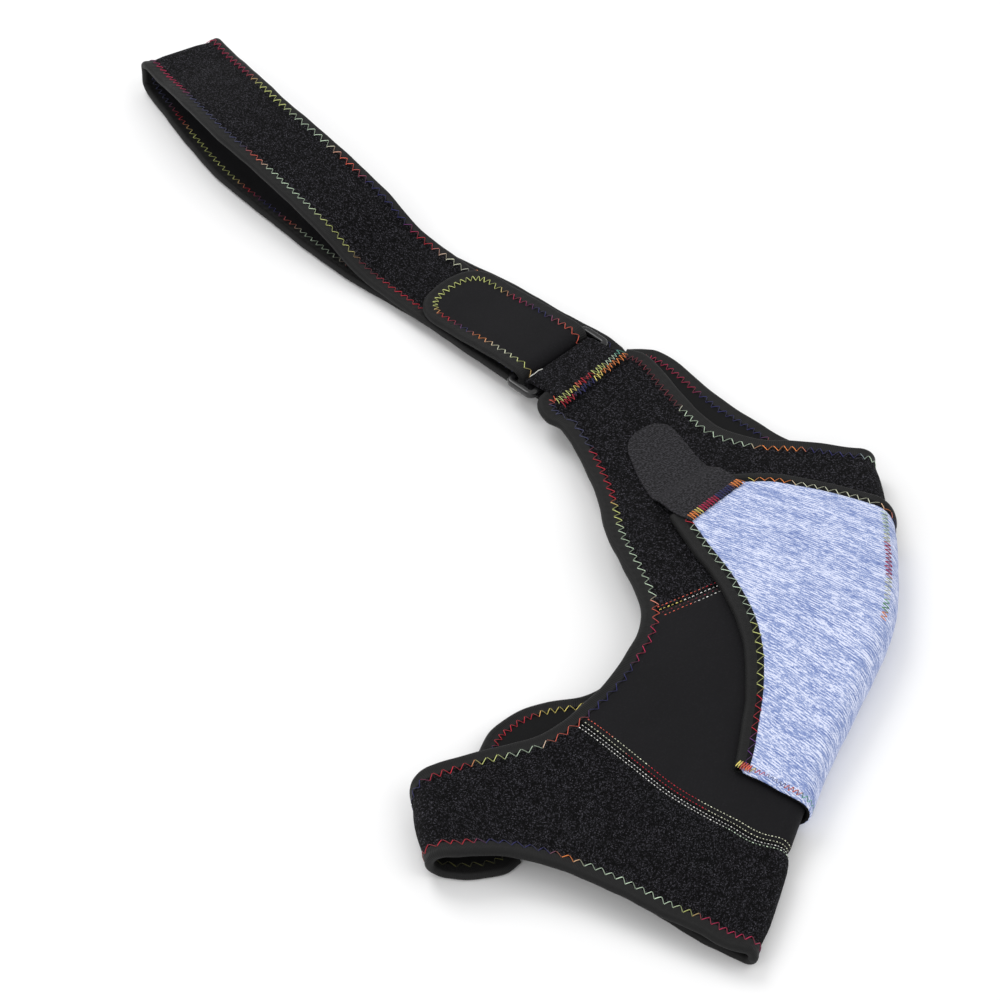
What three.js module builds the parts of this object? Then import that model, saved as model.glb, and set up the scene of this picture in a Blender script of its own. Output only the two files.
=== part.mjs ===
// Shoulder brace of sheet neoprene, lying flat on its side, folded at the top of the shoulder.
// Millimetres, Z up. The front half lies on the back half and the chest strap leaves as a flat loop.
import * as THREE from 'three';

// Body cloth
const bodyWidth = 233;
const bodyLength = 394;
const panelThick = 2.2;
const fit = 0.3;
const seamGap = 0.3;

// Bound rims
const bindWall = 1.0;
const bindWidth = 6.5;
const edgeClear = 0.7;

// Heights that the folded cloth keeps
const capRise = 20;

// Chest strap
const strapWidth = 49;
const strapReach = 337;
const strapLap = 58;
const loopRise = 31;
const loopEndRadius = 9.5;
const tabReach = 86;
const tabEndRound = 20;
const hookLength = 56;
const hookThick = 1.8;

// Ring and the strip that holds it
const ringWire = 3.8;
const ringBarSpacing = 16;
const ringSlack = 1.5;
const carrierWidth = 0.2 * bodyWidth;
const carrierLap = 9;

// Shoulder pocket and its hook tab
const pocketBack = 50;
const hookTabThick = 0.9;

const rimHalf = panelThick / 2 + fit + bindWall;
const rimInset = bindWall + edgeClear;
const layerPitch = 2 * rimHalf + fit;
const tableLevel = rimHalf;
const frontLevel = rimHalf + 1.5 * layerPitch;
const pocketLift = panelThick / 2 + fit + rimHalf;
const hookTabLift = panelThick / 2 + 1.5 * fit + hookTabThick / 2;

// Where each stretch of the folded sheet begins, counted along the sheet from the tucked end:
// tucked end, left fold, front half, shoulder fold, back half
const tuckSpan = 0.26 * bodyWidth;
const leftFoldSpan = 0.11 * bodyWidth;
const halfSpan = 0.77 * bodyWidth;
const shoulderFoldSpan = 0.1 * bodyWidth;
const leftFoldStart = tuckSpan;
const frontStart = leftFoldStart + leftFoldSpan;
const frontEnd = frontStart + halfSpan;
const backStart = frontEnd + shoulderFoldSpan;

// Outer faces of both folds: at is a share of bodyLength from the hem, right and left of bodyWidth
const foldLine = [
  { at: -0.02, right: 0.622, left: 0.05 },
  { at: 0.05, right: 0.670, left: 0.05 },
  { at: 0.12, right: 0.708, left: 0.042 },
  { at: 0.15, right: 0.718, left: 0.026 },
  { at: 0.2, right: 0.749, left: 0.010 },
  { at: 0.25, right: 0.781, left: 0.005 },
  { at: 0.3, right: 0.818, left: 0.005 },
  { at: 0.36, right: 0.866, left: 0.01 },
  { at: 0.41, right: 0.905, left: 0.02 },
  { at: 0.47, right: 0.946, left: 0.03 },
  { at: 0.52, right: 0.965, left: 0.03 },
  { at: 0.57, right: 0.974, left: 0.03 },
  { at: 0.62, right: 0.978, left: 0.03 },
  { at: 0.7, right: 0.980, left: 0.03 },
  { at: 0.78, right: 0.968, left: 0.03 },
  { at: 1.02, right: 0.944, left: 0.03 },
];

// Heights of the front half above frontLevel, shares of capRise, at its left, middle and right
const frontHeights = [
  { at: 0, left: 0.42, middle: 0.22, right: 0.08 },
  { at: 0.15, left: 0.45, middle: 0.33, right: 0.2 },
  { at: 0.3, left: 0.42, middle: 0.5, right: 0.39 },
  { at: 0.45, left: 0.3, middle: 0.65, right: 0.5 },
  { at: 0.6, left: 0.25, middle: 0.5, right: 0.55 },
  { at: 0.75, left: 0.2, middle: 0.22, right: 0.38 },
  { at: 0.85, left: 0.19, middle: 0.19, right: 0.22 },
  { at: 1, left: 0.19, middle: 0.19, right: 0.19 },
];

// Heights of the back half above tableLevel, shares of layerPitch
const backHeights = [
  { at: 0, left: 1, middle: 0.2, right: 0 },
  { at: 0.12, left: 1.1, middle: 0.4, right: 0.1 },
  { at: 0.18, left: 1.1, middle: 0.85, right: 0.76 },
  { at: 0.3, left: 1.1, middle: 0.8, right: 0.76 },
  { at: 0.45, left: 0.5, middle: 0.75, right: 0.75 },
  { at: 0.65, left: 0.6, middle: 0.75, right: 0.75 },
  { at: 0.76, left: 1, middle: 1, right: 0.7 },
  { at: 0.86, left: 1, middle: 1, right: 0.6 },
  { at: 1, left: 1, middle: 1, right: 0.5 },
];

// Rims and seams as plan points, x a share of bodyWidth and y of bodyLength from the lower left.
// Each list says on which half of the sheet its points lie.
const armpitFront = [
  { x: 0.252, y: 0.857 },
  { x: 0.300, y: 0.820 },
  { x: 0.335, y: 0.775 },
  { x: 0.356, y: 0.745 },
  { x: 0.374, y: 0.703 },
  { x: 0.392, y: 0.627 },
  { x: 0.419, y: 0.572 },
  { x: 0.448, y: 0.518 },
  { x: 0.456, y: 0.478 },
];
const cuffTopFront = [
  { x: 0.447, y: 0.447 },
  { x: 0.427, y: 0.420 },
  { x: 0.381, y: 0.372 },
  { x: 0.339, y: 0.342 },
  { x: 0.289, y: 0.312 },
  { x: 0.230, y: 0.290 },
  { x: 0.129, y: 0.272 },
  { x: 0.056, y: 0.256 },
];
const cuffTopFold = [
  { turn: 0.35, y: 0.241 },
  { turn: 0.75, y: 0.226 },
];
const cuffTopTuck = [
  { x: 0.060, y: 0.226 },
  { x: 0.130, y: 0.231 },
  { x: 0.205, y: 0.235 },
];
const hemTuck = [
  { x: 0.212, y: 0.146 },
  { x: 0.181, y: 0.130 },
  { x: 0.115, y: 0.123 },
  { x: 0.060, y: 0.126 },
];
const hemLeftFold = [
  { turn: 0.25, y: 0.127 },
  { turn: 0.65, y: 0.123 },
];
const hemFront = [
  { x: 0.080, y: 0.122 },
  { x: 0.172, y: 0.125 },
  { x: 0.247, y: 0.116 },
  { x: 0.322, y: 0.098 },
  { x: 0.396, y: 0.075 },
  { x: 0.469, y: 0.049 },
  { x: 0.541, y: 0.024 },
  { x: 0.590, y: 0.004 },
];
const hemShoulderFold = [
  { turn: 0.25, y: -0.004 },
  { turn: 0.6, y: -0.003 },
];
const hemBack = [
  { x: 0.608, y: 0.011 },
  { x: 0.541, y: 0.038 },
  { x: 0.472, y: 0.069 },
  { x: 0.414, y: 0.100 },
  { x: 0.300, y: 0.150 },
  { x: 0.200, y: 0.193 },
  { x: 0.150, y: 0.220 },
  { x: 0.124, y: 0.245 },
];
const cuffTopBack = [
  { x: 0.440, y: 0.440 },
  { x: 0.410, y: 0.412 },
  { x: 0.376, y: 0.397 },
  { x: 0.331, y: 0.383 },
  { x: 0.261, y: 0.374 },
  { x: 0.201, y: 0.357 },
  { x: 0.152, y: 0.329 },
  { x: 0.130, y: 0.298 },
  { x: 0.121, y: 0.272 },
];
const armpitBack = [
  { x: 0.285, y: 0.862 },
  { x: 0.335, y: 0.820 },
  { x: 0.375, y: 0.760 },
  { x: 0.405, y: 0.690 },
  { x: 0.430, y: 0.610 },
  { x: 0.460, y: 0.540 },
  { x: 0.470, y: 0.484 },
];
const neckFront = [
  { x: 0.457, y: 0.975 },
  { x: 0.490, y: 0.967 },
  { x: 0.517, y: 0.949 },
  { x: 0.561, y: 0.901 },
  { x: 0.616, y: 0.848 },
  { x: 0.657, y: 0.822 },
  { x: 0.732, y: 0.802 },
  { x: 0.801, y: 0.797 },
  { x: 0.860, y: 0.791 },
  { x: 0.923, y: 0.781 },
];
const neckFold = [
  { turn: 0.3, y: 0.776 },
  { turn: 0.7, y: 0.778 },
];
const neckBack = [
  { x: 0.930, y: 0.786 },
  { x: 0.806, y: 0.818 },
  { x: 0.740, y: 0.852 },
  { x: 0.681, y: 0.884 },
  { x: 0.629, y: 0.920 },
  { x: 0.577, y: 0.961 },
  { x: 0.530, y: 0.987 },
  { x: 0.496, y: 0.992 },
  { x: 0.458, y: 0.992 },
];
const upperSeamFront = [
  { x: 0.456, y: 0.474 },
  { x: 0.537, y: 0.499 },
  { x: 0.621, y: 0.527 },
  { x: 0.800, y: 0.588 },
  { x: 0.930, y: 0.628 },
];
const upperSeamBack = [
  { x: 0.930, y: 0.628 },
  { x: 0.700, y: 0.560 },
  { x: 0.450, y: 0.478 },
];
const lowerSeamFront = [
  { x: 0.305, y: 0.322 },
  { x: 0.342, y: 0.307 },
  { x: 0.442, y: 0.249 },
  { x: 0.498, y: 0.217 },
  { x: 0.554, y: 0.193 },
  { x: 0.610, y: 0.173 },
  { x: 0.680, y: 0.150 },
];
const lowerSeamBack = [
  { x: 0.680, y: 0.152 },
  { x: 0.500, y: 0.240 },
  { x: 0.331, y: 0.383 },
];
const pocketLeftRim = [
  { x: 0.525, y: 0.640 },
  { x: 0.563, y: 0.586 },
  { x: 0.604, y: 0.535 },
  { x: 0.638, y: 0.479 },
  { x: 0.656, y: 0.419 },
  { x: 0.657, y: 0.381 },
  { x: 0.651, y: 0.337 },
  { x: 0.633, y: 0.272 },
  { x: 0.621, y: 0.243 },
];
const pocketBottomFront = [
  pocketLeftRim.at(-1),
  { x: 0.675, y: 0.226 },
  { x: 0.720, y: 0.209 },
];
const pocketCorner = [
  pocketLeftRim[0],
  { x: 0.533, y: 0.660 },
  { x: 0.640, y: 0.712 },
  { x: 0.653, y: 0.721 },
];
const pocketTopFront = [
  pocketCorner.at(-1),
  { x: 0.744, y: 0.722 },
  { x: 0.806, y: 0.713 },
  { x: 0.868, y: 0.701 },
  { x: 0.930, y: 0.685 },
];
const pocketTopFold = [
  { turn: 0.3, y: 0.668 },
  { turn: 0.7, y: 0.655 },
];
const pocketTopBack = [
  { x: 0.900, y: 0.655 },
  { x: 0.560, y: 0.655 },
];
const hookTabUpper = [
  { x: 0.446, y: 0.777 },
  { x: 0.450, y: 0.796 },
  { x: 0.465, y: 0.811 },
  { x: 0.492, y: 0.824 },
  { x: 0.518, y: 0.828 },
  { x: 0.544, y: 0.820 },
  { x: 0.576, y: 0.787 },
  { x: 0.594, y: 0.766 },
  { x: 0.622, y: 0.746 },
  { x: 0.640, y: 0.734 },
  { x: 0.646, y: 0.706 },
];
const hookTabLower = [
  hookTabUpper[0],
  { x: 0.454, y: 0.755 },
  { x: 0.469, y: 0.720 },
  { x: 0.488, y: 0.692 },
  { x: 0.515, y: 0.668 },
  { x: 0.560, y: 0.652 },
  { x: 0.646, y: 0.694 },
];

// Middle of the ring in plan, shares of bodyWidth and bodyLength, and the strap's heading from it
const ringPlace = { x: 0.300, y: 0.957 };
const strapAngle = THREE.MathUtils.degToRad(129.8);

// The strap's sway to its left, shares of strapWidth, along strapReach from the ring
const strapSway = [
  { at: -0.2, sway: -0.13 },
  { at: -0.1, sway: -0.065 },
  { at: 0, sway: 0 },
  { at: 0.1, sway: 0.065 },
  { at: 0.27, sway: 0.17 },
  { at: 0.45, sway: 0.28 },
  { at: 0.6, sway: 0.31 },
  { at: 0.75, sway: 0.3 },
  { at: 1, sway: 0 },
];

// Height of the strap's upper layer over the lower one, shares of loopRise above one layer pitch
const strapArch = [
  { at: 0, rise: 0 },
  { at: 0.1, rise: 0 },
  { at: 0.2, rise: 0 },
  { at: 0.3, rise: 0.01 },
  { at: 0.36, rise: 0.07 },
  { at: 0.4, rise: 0.2 },
  { at: 0.45, rise: 0.44 },
  { at: 0.5, rise: 0.57 },
  { at: 0.6, rise: 0.72 },
  { at: 0.7, rise: 0.8 },
  { at: 0.78, rise: 0.78 },
  { at: 0.86, rise: 0.66 },
  { at: 0.92, rise: 0.52 },
];

// Cubic through a table's rows, level beyond its ends
function smoothAt(rows, column, at) {
  const last = rows.length - 1;
  if (at <= rows[0].at) return rows[0][column];
  if (at >= rows[last].at) return rows[last][column];
  let i = 0;
  while (at > rows[i + 1].at) i += 1;
  const slope = (j) => {
    const before = rows[Math.max(j - 1, 0)];
    const after = rows[Math.min(j + 1, last)];
    return (after[column] - before[column]) / (after.at - before.at);
  };
  const step = rows[i + 1].at - rows[i].at;
  const t = (at - rows[i].at) / step;
  const a = 1 - t;
  return a * a * (1 + 2 * t) * rows[i][column] + t * a * a * step * slope(i)
    + t * t * (3 - 2 * t) * rows[i + 1][column] - t * t * a * step * slope(i + 1);
}

// Parabola through a row's left, middle and right values
function acrossAt(rows, share, at) {
  const w = THREE.MathUtils.clamp(share, 0, 1);
  return smoothAt(rows, 'left', at) * (2 * w * w - 3 * w + 1)
    + smoothAt(rows, 'middle', at) * (4 * w - 4 * w * w)
    + smoothAt(rows, 'right', at) * (2 * w * w - w);
}

function frontZ(share, y) {
  return frontLevel + capRise * acrossAt(frontHeights, share, y / bodyLength);
}

function backZ(share, y) {
  return tableLevel + layerPitch * acrossAt(backHeights, share, y / bodyLength);
}

// Radii and centre lines of both folds at one level of the body
function foldsAt(y) {
  const right = bodyWidth * smoothAt(foldLine, 'right', y / bodyLength);
  const left = bodyWidth * smoothAt(foldLine, 'left', y / bodyLength);
  const rightRadius = (frontZ(1, y) - backZ(1, y)) / 2;
  const leftRadius = (frontZ(0, y) - tableLevel) / 2;
  return { rightRadius, leftRadius, rightX: right - rightRadius, leftX: left + leftRadius };
}

// The folded sheet's middle surface: u runs along the sheet from the tucked end, y up the body
function bodySheet(u, y) {
  const { rightRadius, leftRadius, rightX, leftX } = foldsAt(y);
  if (u < leftFoldStart) return new THREE.Vector3(leftX + leftFoldStart - u, y, tableLevel);
  if (u < frontStart) {
    const turn = Math.PI * (u - leftFoldStart) / leftFoldSpan;
    return new THREE.Vector3(leftX - leftRadius * Math.sin(turn), y,
      tableLevel + leftRadius * (1 - Math.cos(turn)));
  }
  if (u <= frontEnd) {
    const share = (u - frontStart) / halfSpan;
    return new THREE.Vector3(leftX + share * (rightX - leftX), y, frontZ(share, y));
  }
  if (u < backStart) {
    const turn = Math.PI * (u - frontEnd) / shoulderFoldSpan;
    return new THREE.Vector3(rightX + rightRadius * Math.sin(turn), y,
      frontZ(1, y) - rightRadius * (1 - Math.cos(turn)));
  }
  const share = 1 - (u - backStart) / halfSpan;
  return new THREE.Vector3(leftX + share * (rightX - leftX), y, backZ(share, y));
}

// Plan points of one half turned into places on the sheet
function onFront(rows) {
  return rows.map(({ x, y }) => {
    const { leftX, rightX } = foldsAt(y * bodyLength);
    const share = (x * bodyWidth - leftX) / (rightX - leftX);
    return new THREE.Vector2(frontStart + share * halfSpan, y * bodyLength);
  });
}

function onBack(rows) {
  return rows.map(({ x, y }) => {
    const { leftX, rightX } = foldsAt(y * bodyLength);
    const share = (x * bodyWidth - leftX) / (rightX - leftX);
    return new THREE.Vector2(backStart + (1 - share) * halfSpan, y * bodyLength);
  });
}

function onTuck(rows) {
  return rows.map(({ x, y }) => {
    const { leftX } = foldsAt(y * bodyLength);
    return new THREE.Vector2(leftFoldStart - (x * bodyWidth - leftX), y * bodyLength);
  });
}

function onLeftFold(rows) {
  return rows.map(({ turn, y }) => new THREE.Vector2(leftFoldStart + turn * leftFoldSpan, y * bodyLength));
}

function onShoulderFold(rows) {
  return rows.map(({ turn, y }) => new THREE.Vector2(frontEnd + turn * shoulderFoldSpan, y * bodyLength));
}

// Smooth line through places on a sheet, as evenly fine points
function smoothLine(places, finest = 1.5) {
  const curve = new THREE.SplineCurve(places);
  curve.arcLengthDivisions = 20 * places.length;
  const count = Math.ceil(curve.getLength() / finest);
  return curve.getSpacedPoints(count);
}

// Direction to the left of a line at one of its points; inside a fold it stays on the fold's rows
function leftOf(line, i) {
  const before = line[Math.max(i - 1, 0)];
  const after = line[Math.min(i + 1, line.length - 1)];
  const along = after.clone().sub(before).normalize();
  const u = line[i].x;
  const inFold = (u >= leftFoldStart && u <= frontStart) || (u >= frontEnd && u <= backStart);
  return inFold ? new THREE.Vector2(0, Math.sign(along.x)) : new THREE.Vector2(-along.y, along.x);
}

// Same line moved sideways: to its left where distance is positive
function shifted(line, distance) {
  return line.map((place, i) => place.clone().addScaledVector(leftOf(line, i), distance));
}

// The line's y at one u, or undefined where it doesn't reach
function heightOf(line, u) {
  for (let i = 0; i + 1 < line.length; i += 1) {
    const a = line[i];
    const b = line[i + 1];
    const inside = (u - a.x) * (u - b.x) <= 0 && a.x !== b.x;
    if (inside) return a.y + (b.y - a.y) * (u - a.x) / (b.x - a.x);
  }
  return undefined;
}

// Outward normal of a surface at one place
function normalAt(surface, u, v) {
  const step = 0.4;
  const alongU = surface(u + step, v).sub(surface(u - step, v));
  const alongV = surface(u, v + step).sub(surface(u, v - step));
  return alongU.cross(alongV).normalize();
}

// Places across both folds where every piece that goes round them has a row of points
const foldSteps = 8;
const foldMarks = [];
for (let i = 0; i <= foldSteps; i += 1) {
  foldMarks.push(leftFoldStart + leftFoldSpan * i / foldSteps);
  foldMarks.push(frontEnd + shoulderFoldSpan * i / foldSteps);
}

// Keeps the points of a line that its bends, a longest step and the folds need
function thinned(line, longest = 15, sharpest = 0.24) {
  const kept = [line[0]];
  let heading = line[1].clone().sub(line[0]);
  for (let i = 1; i + 1 < line.length; i += 1) {
    const place = line[i];
    const last = kept[kept.length - 1];
    const next = line[i + 1].clone().sub(place);
    const mark = foldMarks.find((u) => (u - place.x) * (u - line[i + 1].x) <= 0 && u !== place.x);
    const inFold = foldMarks.some((u) => Math.abs(u - place.x) < leftFoldSpan / foldSteps);
    const far = place.distanceTo(last);
    const turned = Math.abs(Math.atan2(heading.cross(next), heading.dot(next)));
    if (mark !== undefined) {
      const share = (mark - place.x) / (line[i + 1].x - place.x);
      kept.push(place.clone().lerp(line[i + 1], share));
      heading = next;
    } else if (!inFold && (far >= longest || (far > bindWidth / 2 && turned > sharpest))) {
      kept.push(place);
      heading = next;
    }
  }
  kept.push(line[line.length - 1]);
  return kept;
}

// Closed mesh from points and triangles, with its faces turned outwards
function closedMesh(points, triangles) {
  const edge = new THREE.Vector3();
  let volume = 0;
  for (const [a, b, c] of triangles) {
    volume += points[a].dot(edge.crossVectors(points[b], points[c]));
  }
  const geometry = new THREE.BufferGeometry();
  const turned = volume < 0 ? triangles.map(([a, b, c]) => [a, c, b]) : triangles;
  const flat = points.flatMap((p) => [p.x, p.y, p.z]);
  geometry.setAttribute('position', new THREE.Float32BufferAttribute(flat, 3));
  geometry.setIndex(turned.flat());
  geometry.computeVertexNormals();
  return geometry;
}

// Most that the cell along a rim takes of its even share
const widestRim = 0.8;

// Cloth of even thickness between two edges of a surface, one row of points for each station
function clothBetween(surface, stations, lower, upper, cells, lift, thick) {
  const points = [];
  for (const u of stations) {
    const span = upper(u) - lower(u);
    const atRim = Math.min(bindWidth / span, widestRim / cells);
    for (let j = 0; j <= cells; j += 1) {
      const inside = atRim + (1 - 2 * atRim) * (j - 1) / (cells - 2);
      const share = cells < 3 ? j / cells : THREE.MathUtils.clamp(inside, 0, 1);
      const v = lower(u) + span * (j === 0 ? 0 : j === cells ? 1 : share);
      const middle = surface(u, v);
      const out = normalAt(surface, u, v);
      points.push(middle.clone().addScaledVector(out, lift + thick / 2));
      points.push(middle.clone().addScaledVector(out, lift - thick / 2));
    }
  }
  const row = 2 * (cells + 1);
  const triangles = [];
  const quad = (a, b, c, d) => triangles.push([a, b, c], [a, c, d]);
  for (let i = 0; i + 1 < stations.length; i += 1) {
    for (let j = 0; j < cells; j += 1) {
      const a = i * row + 2 * j;
      quad(a, a + row, a + row + 2, a + 2);
      quad(a + 1, a + 3, a + row + 3, a + row + 1);
    }
    const low = i * row;
    const high = low + 2 * cells;
    quad(low, low + 1, low + row + 1, low + row);
    quad(high, high + row, high + row + 1, high + 1);
  }
  for (let j = 0; j < cells; j += 1) {
    const first = 2 * j;
    const last = (stations.length - 1) * row + 2 * j;
    quad(first, first + 2, first + 3, first + 1);
    quad(last, last + 1, last + 3, last + 2);
  }
  return closedMesh(points, triangles);
}

// Bound rim: a channel over the cloth's edge along a line, opening towards its left or right
function bindingAlong(surface, line, side, lift = 0) {
  const lip = rimHalf - bindWall;
  const section = [
    [0, -rimHalf], [0, rimHalf], [bindWidth, rimHalf], [bindWidth, lip],
    [bindWall, lip], [bindWall, -lip], [bindWidth, -lip], [bindWidth, -rimHalf],
  ];
  const points = [];
  line.forEach((place, i) => {
    const left = leftOf(line, i);
    for (const [across, up] of section) {
      const { x: u, y: v } = place.clone().addScaledVector(left, side * across);
      points.push(surface(u, v).addScaledVector(normalAt(surface, u, v), lift + up));
    }
  });
  const triangles = [];
  const count = section.length;
  for (let i = 0; i + 1 < line.length; i += 1) {
    for (let j = 0; j < count; j += 1) {
      const a = i * count + j;
      const b = i * count + (j + 1) % count;
      triangles.push([a, b, b + count], [a, b + count, a + count]);
    }
  }
  const cap = [[0, 1, 4], [0, 4, 5], [1, 2, 3], [1, 3, 4], [0, 5, 6], [0, 6, 7]];
  const last = (line.length - 1) * count;
  for (const [a, b, c] of cap) {
    triangles.push([a, c, b], [last + a, last + b, last + c]);
  }
  return closedMesh(points, triangles);
}

// Stations at the points of the edges, with no two closer than the finest step
function stationsFrom(lines, from, to) {
  const finest = 1.2;
  const wanted = [...lines.flat().map((place) => place.x), ...foldMarks]
    .filter((u) => u > from + finest && u < to - finest)
    .sort((a, b) => a - b);
  const kept = [from];
  for (const u of wanted) {
    if (u - kept[kept.length - 1] >= finest) kept.push(u);
  }
  kept.push(to);
  return kept;
}

// Rims and seams of the body as lines on the sheet
const edgeFrontLine = thinned(smoothLine([
  ...onFront([...armpitFront, ...cuffTopFront]),
  ...onLeftFold(cuffTopFold.map(({ turn, y }) => ({ turn: 1 - turn, y }))),
  ...onTuck(cuffTopTuck),
]));
const hemLine = thinned(smoothLine([
  ...onTuck(hemTuck),
  ...onLeftFold(hemLeftFold),
  ...onFront(hemFront),
  ...onShoulderFold(hemShoulderFold),
  ...onBack(hemBack),
]));
const edgeBackLine = thinned(smoothLine(onBack([...armpitBack, ...cuffTopBack])));
const neckLine = thinned(smoothLine([
  ...onFront(neckFront),
  ...onShoulderFold(neckFold),
  ...onBack(neckBack),
]));
const upperSeamLine = thinned(smoothLine([...onFront(upperSeamFront), ...onBack(upperSeamBack)]));
const lowerSeamLine = thinned(smoothLine([...onFront(lowerSeamFront), ...onBack(lowerSeamBack)]));

// Part of a line on one side of the place where its u is largest or smallest
function cutAtTurn(line, sign) {
  let turn = 0;
  line.forEach((place, i) => {
    if (sign * place.x > sign * line[turn].x) turn = i;
  });
  return [line.slice(0, turn + 1), line.slice(turn)];
}

const frontInset = shifted(edgeFrontLine, rimInset);
const backInset = shifted(edgeBackLine, -rimInset);
const [armpitFrontInset, cuffTopFrontInset] = cutAtTurn(frontInset, 1);
const [armpitBackInset, cuffTopBackInset] = cutAtTurn(backInset, -1);
const neckInset = shifted(neckLine, -rimInset);
const hemInset = shifted(hemLine, rimInset);
const tipEdgeFront = [frontInset[0], neckInset[0]];
const tipEdgeBack = [neckInset[neckInset.length - 1], backInset[0]];

function highest(...values) {
  return Math.max(...values.filter((value) => value !== undefined));
}

function lowest(...values) {
  return Math.min(...values.filter((value) => value !== undefined));
}

function yokePanel() {
  const below = (u) => highest(heightOf(armpitFrontInset, u), heightOf(armpitBackInset, u),
    heightOf(shifted(upperSeamLine, seamGap / 2), u));
  const above = (u) => lowest(heightOf(neckInset, u), heightOf(tipEdgeFront, u), heightOf(tipEdgeBack, u));
  const first = armpitFrontInset[0].x + rimInset;
  const last = armpitBackInset[0].x - rimInset;
  const lines = [armpitFrontInset, upperSeamLine, neckInset, armpitBackInset];
  return clothBetween(bodySheet, stationsFrom(lines, first, last), below, above, 8, 0, panelThick);
}

function capPanel() {
  const seam = shifted(upperSeamLine, -seamGap / 2);
  const above = (u) => lowest(heightOf(seam, u), heightOf(cuffTopFrontInset, u),
    heightOf(cuffTopBackInset, u));
  const below = (u) => heightOf(shifted(lowerSeamLine, seamGap / 2), u);
  const first = lowerSeamLine[0].x + 3 * rimInset;
  const last = lowerSeamLine[lowerSeamLine.length - 1].x - 3 * rimInset;
  const lines = [cuffTopFrontInset, upperSeamLine, lowerSeamLine, cuffTopBackInset];
  return clothBetween(bodySheet, stationsFrom(lines, first, last), below, above, 6, 0, panelThick);
}

function armBand() {
  const seam = shifted(lowerSeamLine, -seamGap / 2);
  const above = (u) => lowest(heightOf(seam, u), heightOf(cuffTopFrontInset, u),
    heightOf(cuffTopBackInset, u));
  const below = (u) => heightOf(hemInset, u);
  const first = Math.max(hemInset[0].x, frontInset[frontInset.length - 1].x) + fit;
  const last = Math.min(hemInset[hemInset.length - 1].x, backInset[backInset.length - 1].x) - fit;
  const lines = [hemInset, lowerSeamLine, cuffTopFrontInset, cuffTopBackInset];
  return clothBetween(bodySheet, stationsFrom(lines, first, last), below, above, 4, 0, panelThick);
}

// Profile of the strap: along is the distance from the ring, height above the table
const ringHeight = tableLevel + layerPitch + rimHalf + fit + ringWire / 2;
const barAlong = ringBarSpacing / 2;

// How the folded-back end settles on the strap: at is a share of its reach, left of its drop
const tabSettle = [
  { at: 0.3, left: 0.75 },
  { at: 0.5, left: 0.3 },
  { at: 0.65, left: 0.05 },
  { at: 0.8, left: 0 },
  { at: 1, left: 0 },
];

function strapProfile() {
  const profile = [];
  const endMiddle = strapReach - loopEndRadius;
  const lowerSteps = 16;
  for (let i = 0; i <= lowerSteps; i += 1) {
    profile.push([-strapLap + (endMiddle + strapLap) * i / lowerSteps, tableLevel]);
  }
  const endSteps = 10;
  const endTurn = 0.9434 * Math.PI;
  for (let i = 1; i <= endSteps; i += 1) {
    const turn = endTurn * i / endSteps;
    profile.push([
      endMiddle + loopEndRadius * Math.sin(turn),
      tableLevel + loopEndRadius * (1 - Math.cos(turn)),
    ]);
  }
  for (const { at, rise } of [...strapArch].reverse()) {
    const along = Math.max(at * strapReach, barAlong);
    profile.push([along, tableLevel + layerPitch + loopRise * rise]);
  }
  const wrapRadius = ringWire / 2 + fit + rimHalf;
  const wrapSteps = 7;
  for (let i = 1; i <= wrapSteps; i += 1) {
    const turn = Math.PI * i / wrapSteps;
    profile.push([barAlong - wrapRadius * Math.sin(turn), ringHeight - wrapRadius * Math.cos(turn)]);
  }
  const tabLevel = tableLevel + 2 * layerPitch;
  const drop = ringHeight + wrapRadius - tabLevel;
  for (const { at, left } of tabSettle) {
    profile.push([barAlong + (tabReach - barAlong) * at, tabLevel + drop * left]);
  }
  return profile;
}

const strapLine = new THREE.CatmullRomCurve3(
  strapProfile().map(([along, height]) => new THREE.Vector3(along, height, 0)), false, 'centripetal');
strapLine.arcLengthDivisions = 1200;
const strapLength = strapLine.getLength();

// Plan place and left direction of the strap's middle line
function strapPlan(along) {
  const heading = new THREE.Vector3(Math.cos(strapAngle), Math.sin(strapAngle), 0);
  const left = new THREE.Vector3(-heading.y, heading.x, 0);
  const sway = (at) => strapWidth * smoothAt(strapSway, 'sway', at / strapReach);
  const step = 2;
  const lean = (sway(along + step) - sway(along - step)) / (2 * step);
  const middle = new THREE.Vector3(ringPlace.x * bodyWidth, ringPlace.y * bodyLength, 0)
    .addScaledVector(heading, along)
    .addScaledVector(left, sway(along));
  return { middle, side: left.clone().addScaledVector(heading, -lean).normalize() };
}

function strapSheet(s, across) {
  const inside = THREE.MathUtils.clamp(s / strapLength, 0, 1);
  const place = strapLine.getPointAt(inside);
  const beyond = s - inside * strapLength;
  const { middle, side } = strapPlan(place.x + beyond);
  return middle.addScaledVector(side, across).setZ(place.y);
}

// Half width of the strap, rounded off at the folded-back end
function strapHalf(s) {
  const roundness = 2.4;
  const left = THREE.MathUtils.clamp((strapLength - s) / tabEndRound, 0, 1);
  return strapWidth / 2 * (1 - (1 - left) ** roundness) ** (1 / roundness);
}

function strapStations() {
  const stations = [];
  const longest = 25;
  const sharpest = 0.5;
  const shorter = 0.85;
  const roundShares = [0, 0.3, 0.55, 0.75, 0.89, 0.97];
  const turnTo = (s, step) => strapLine.getTangentAt(s / strapLength)
    .angleTo(strapLine.getTangentAt(Math.min((s + step) / strapLength, 1)));
  let s = 0;
  while (s < strapLength - tabEndRound) {
    stations.push(s);
    let step = longest;
    while (step > bindWall && turnTo(s, step) > sharpest) step *= shorter;
    s += step;
  }
  for (const share of roundShares) {
    stations.push(strapLength - tabEndRound * (1 - share));
  }
  return stations;
}

const strapRim = strapStations().map((s) => new THREE.Vector2(s, strapHalf(s)));
const strapRimEnd = new THREE.Vector2(strapLength, 0);
const strapInset = shifted([...strapRim, strapRimEnd], -rimInset);

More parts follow.
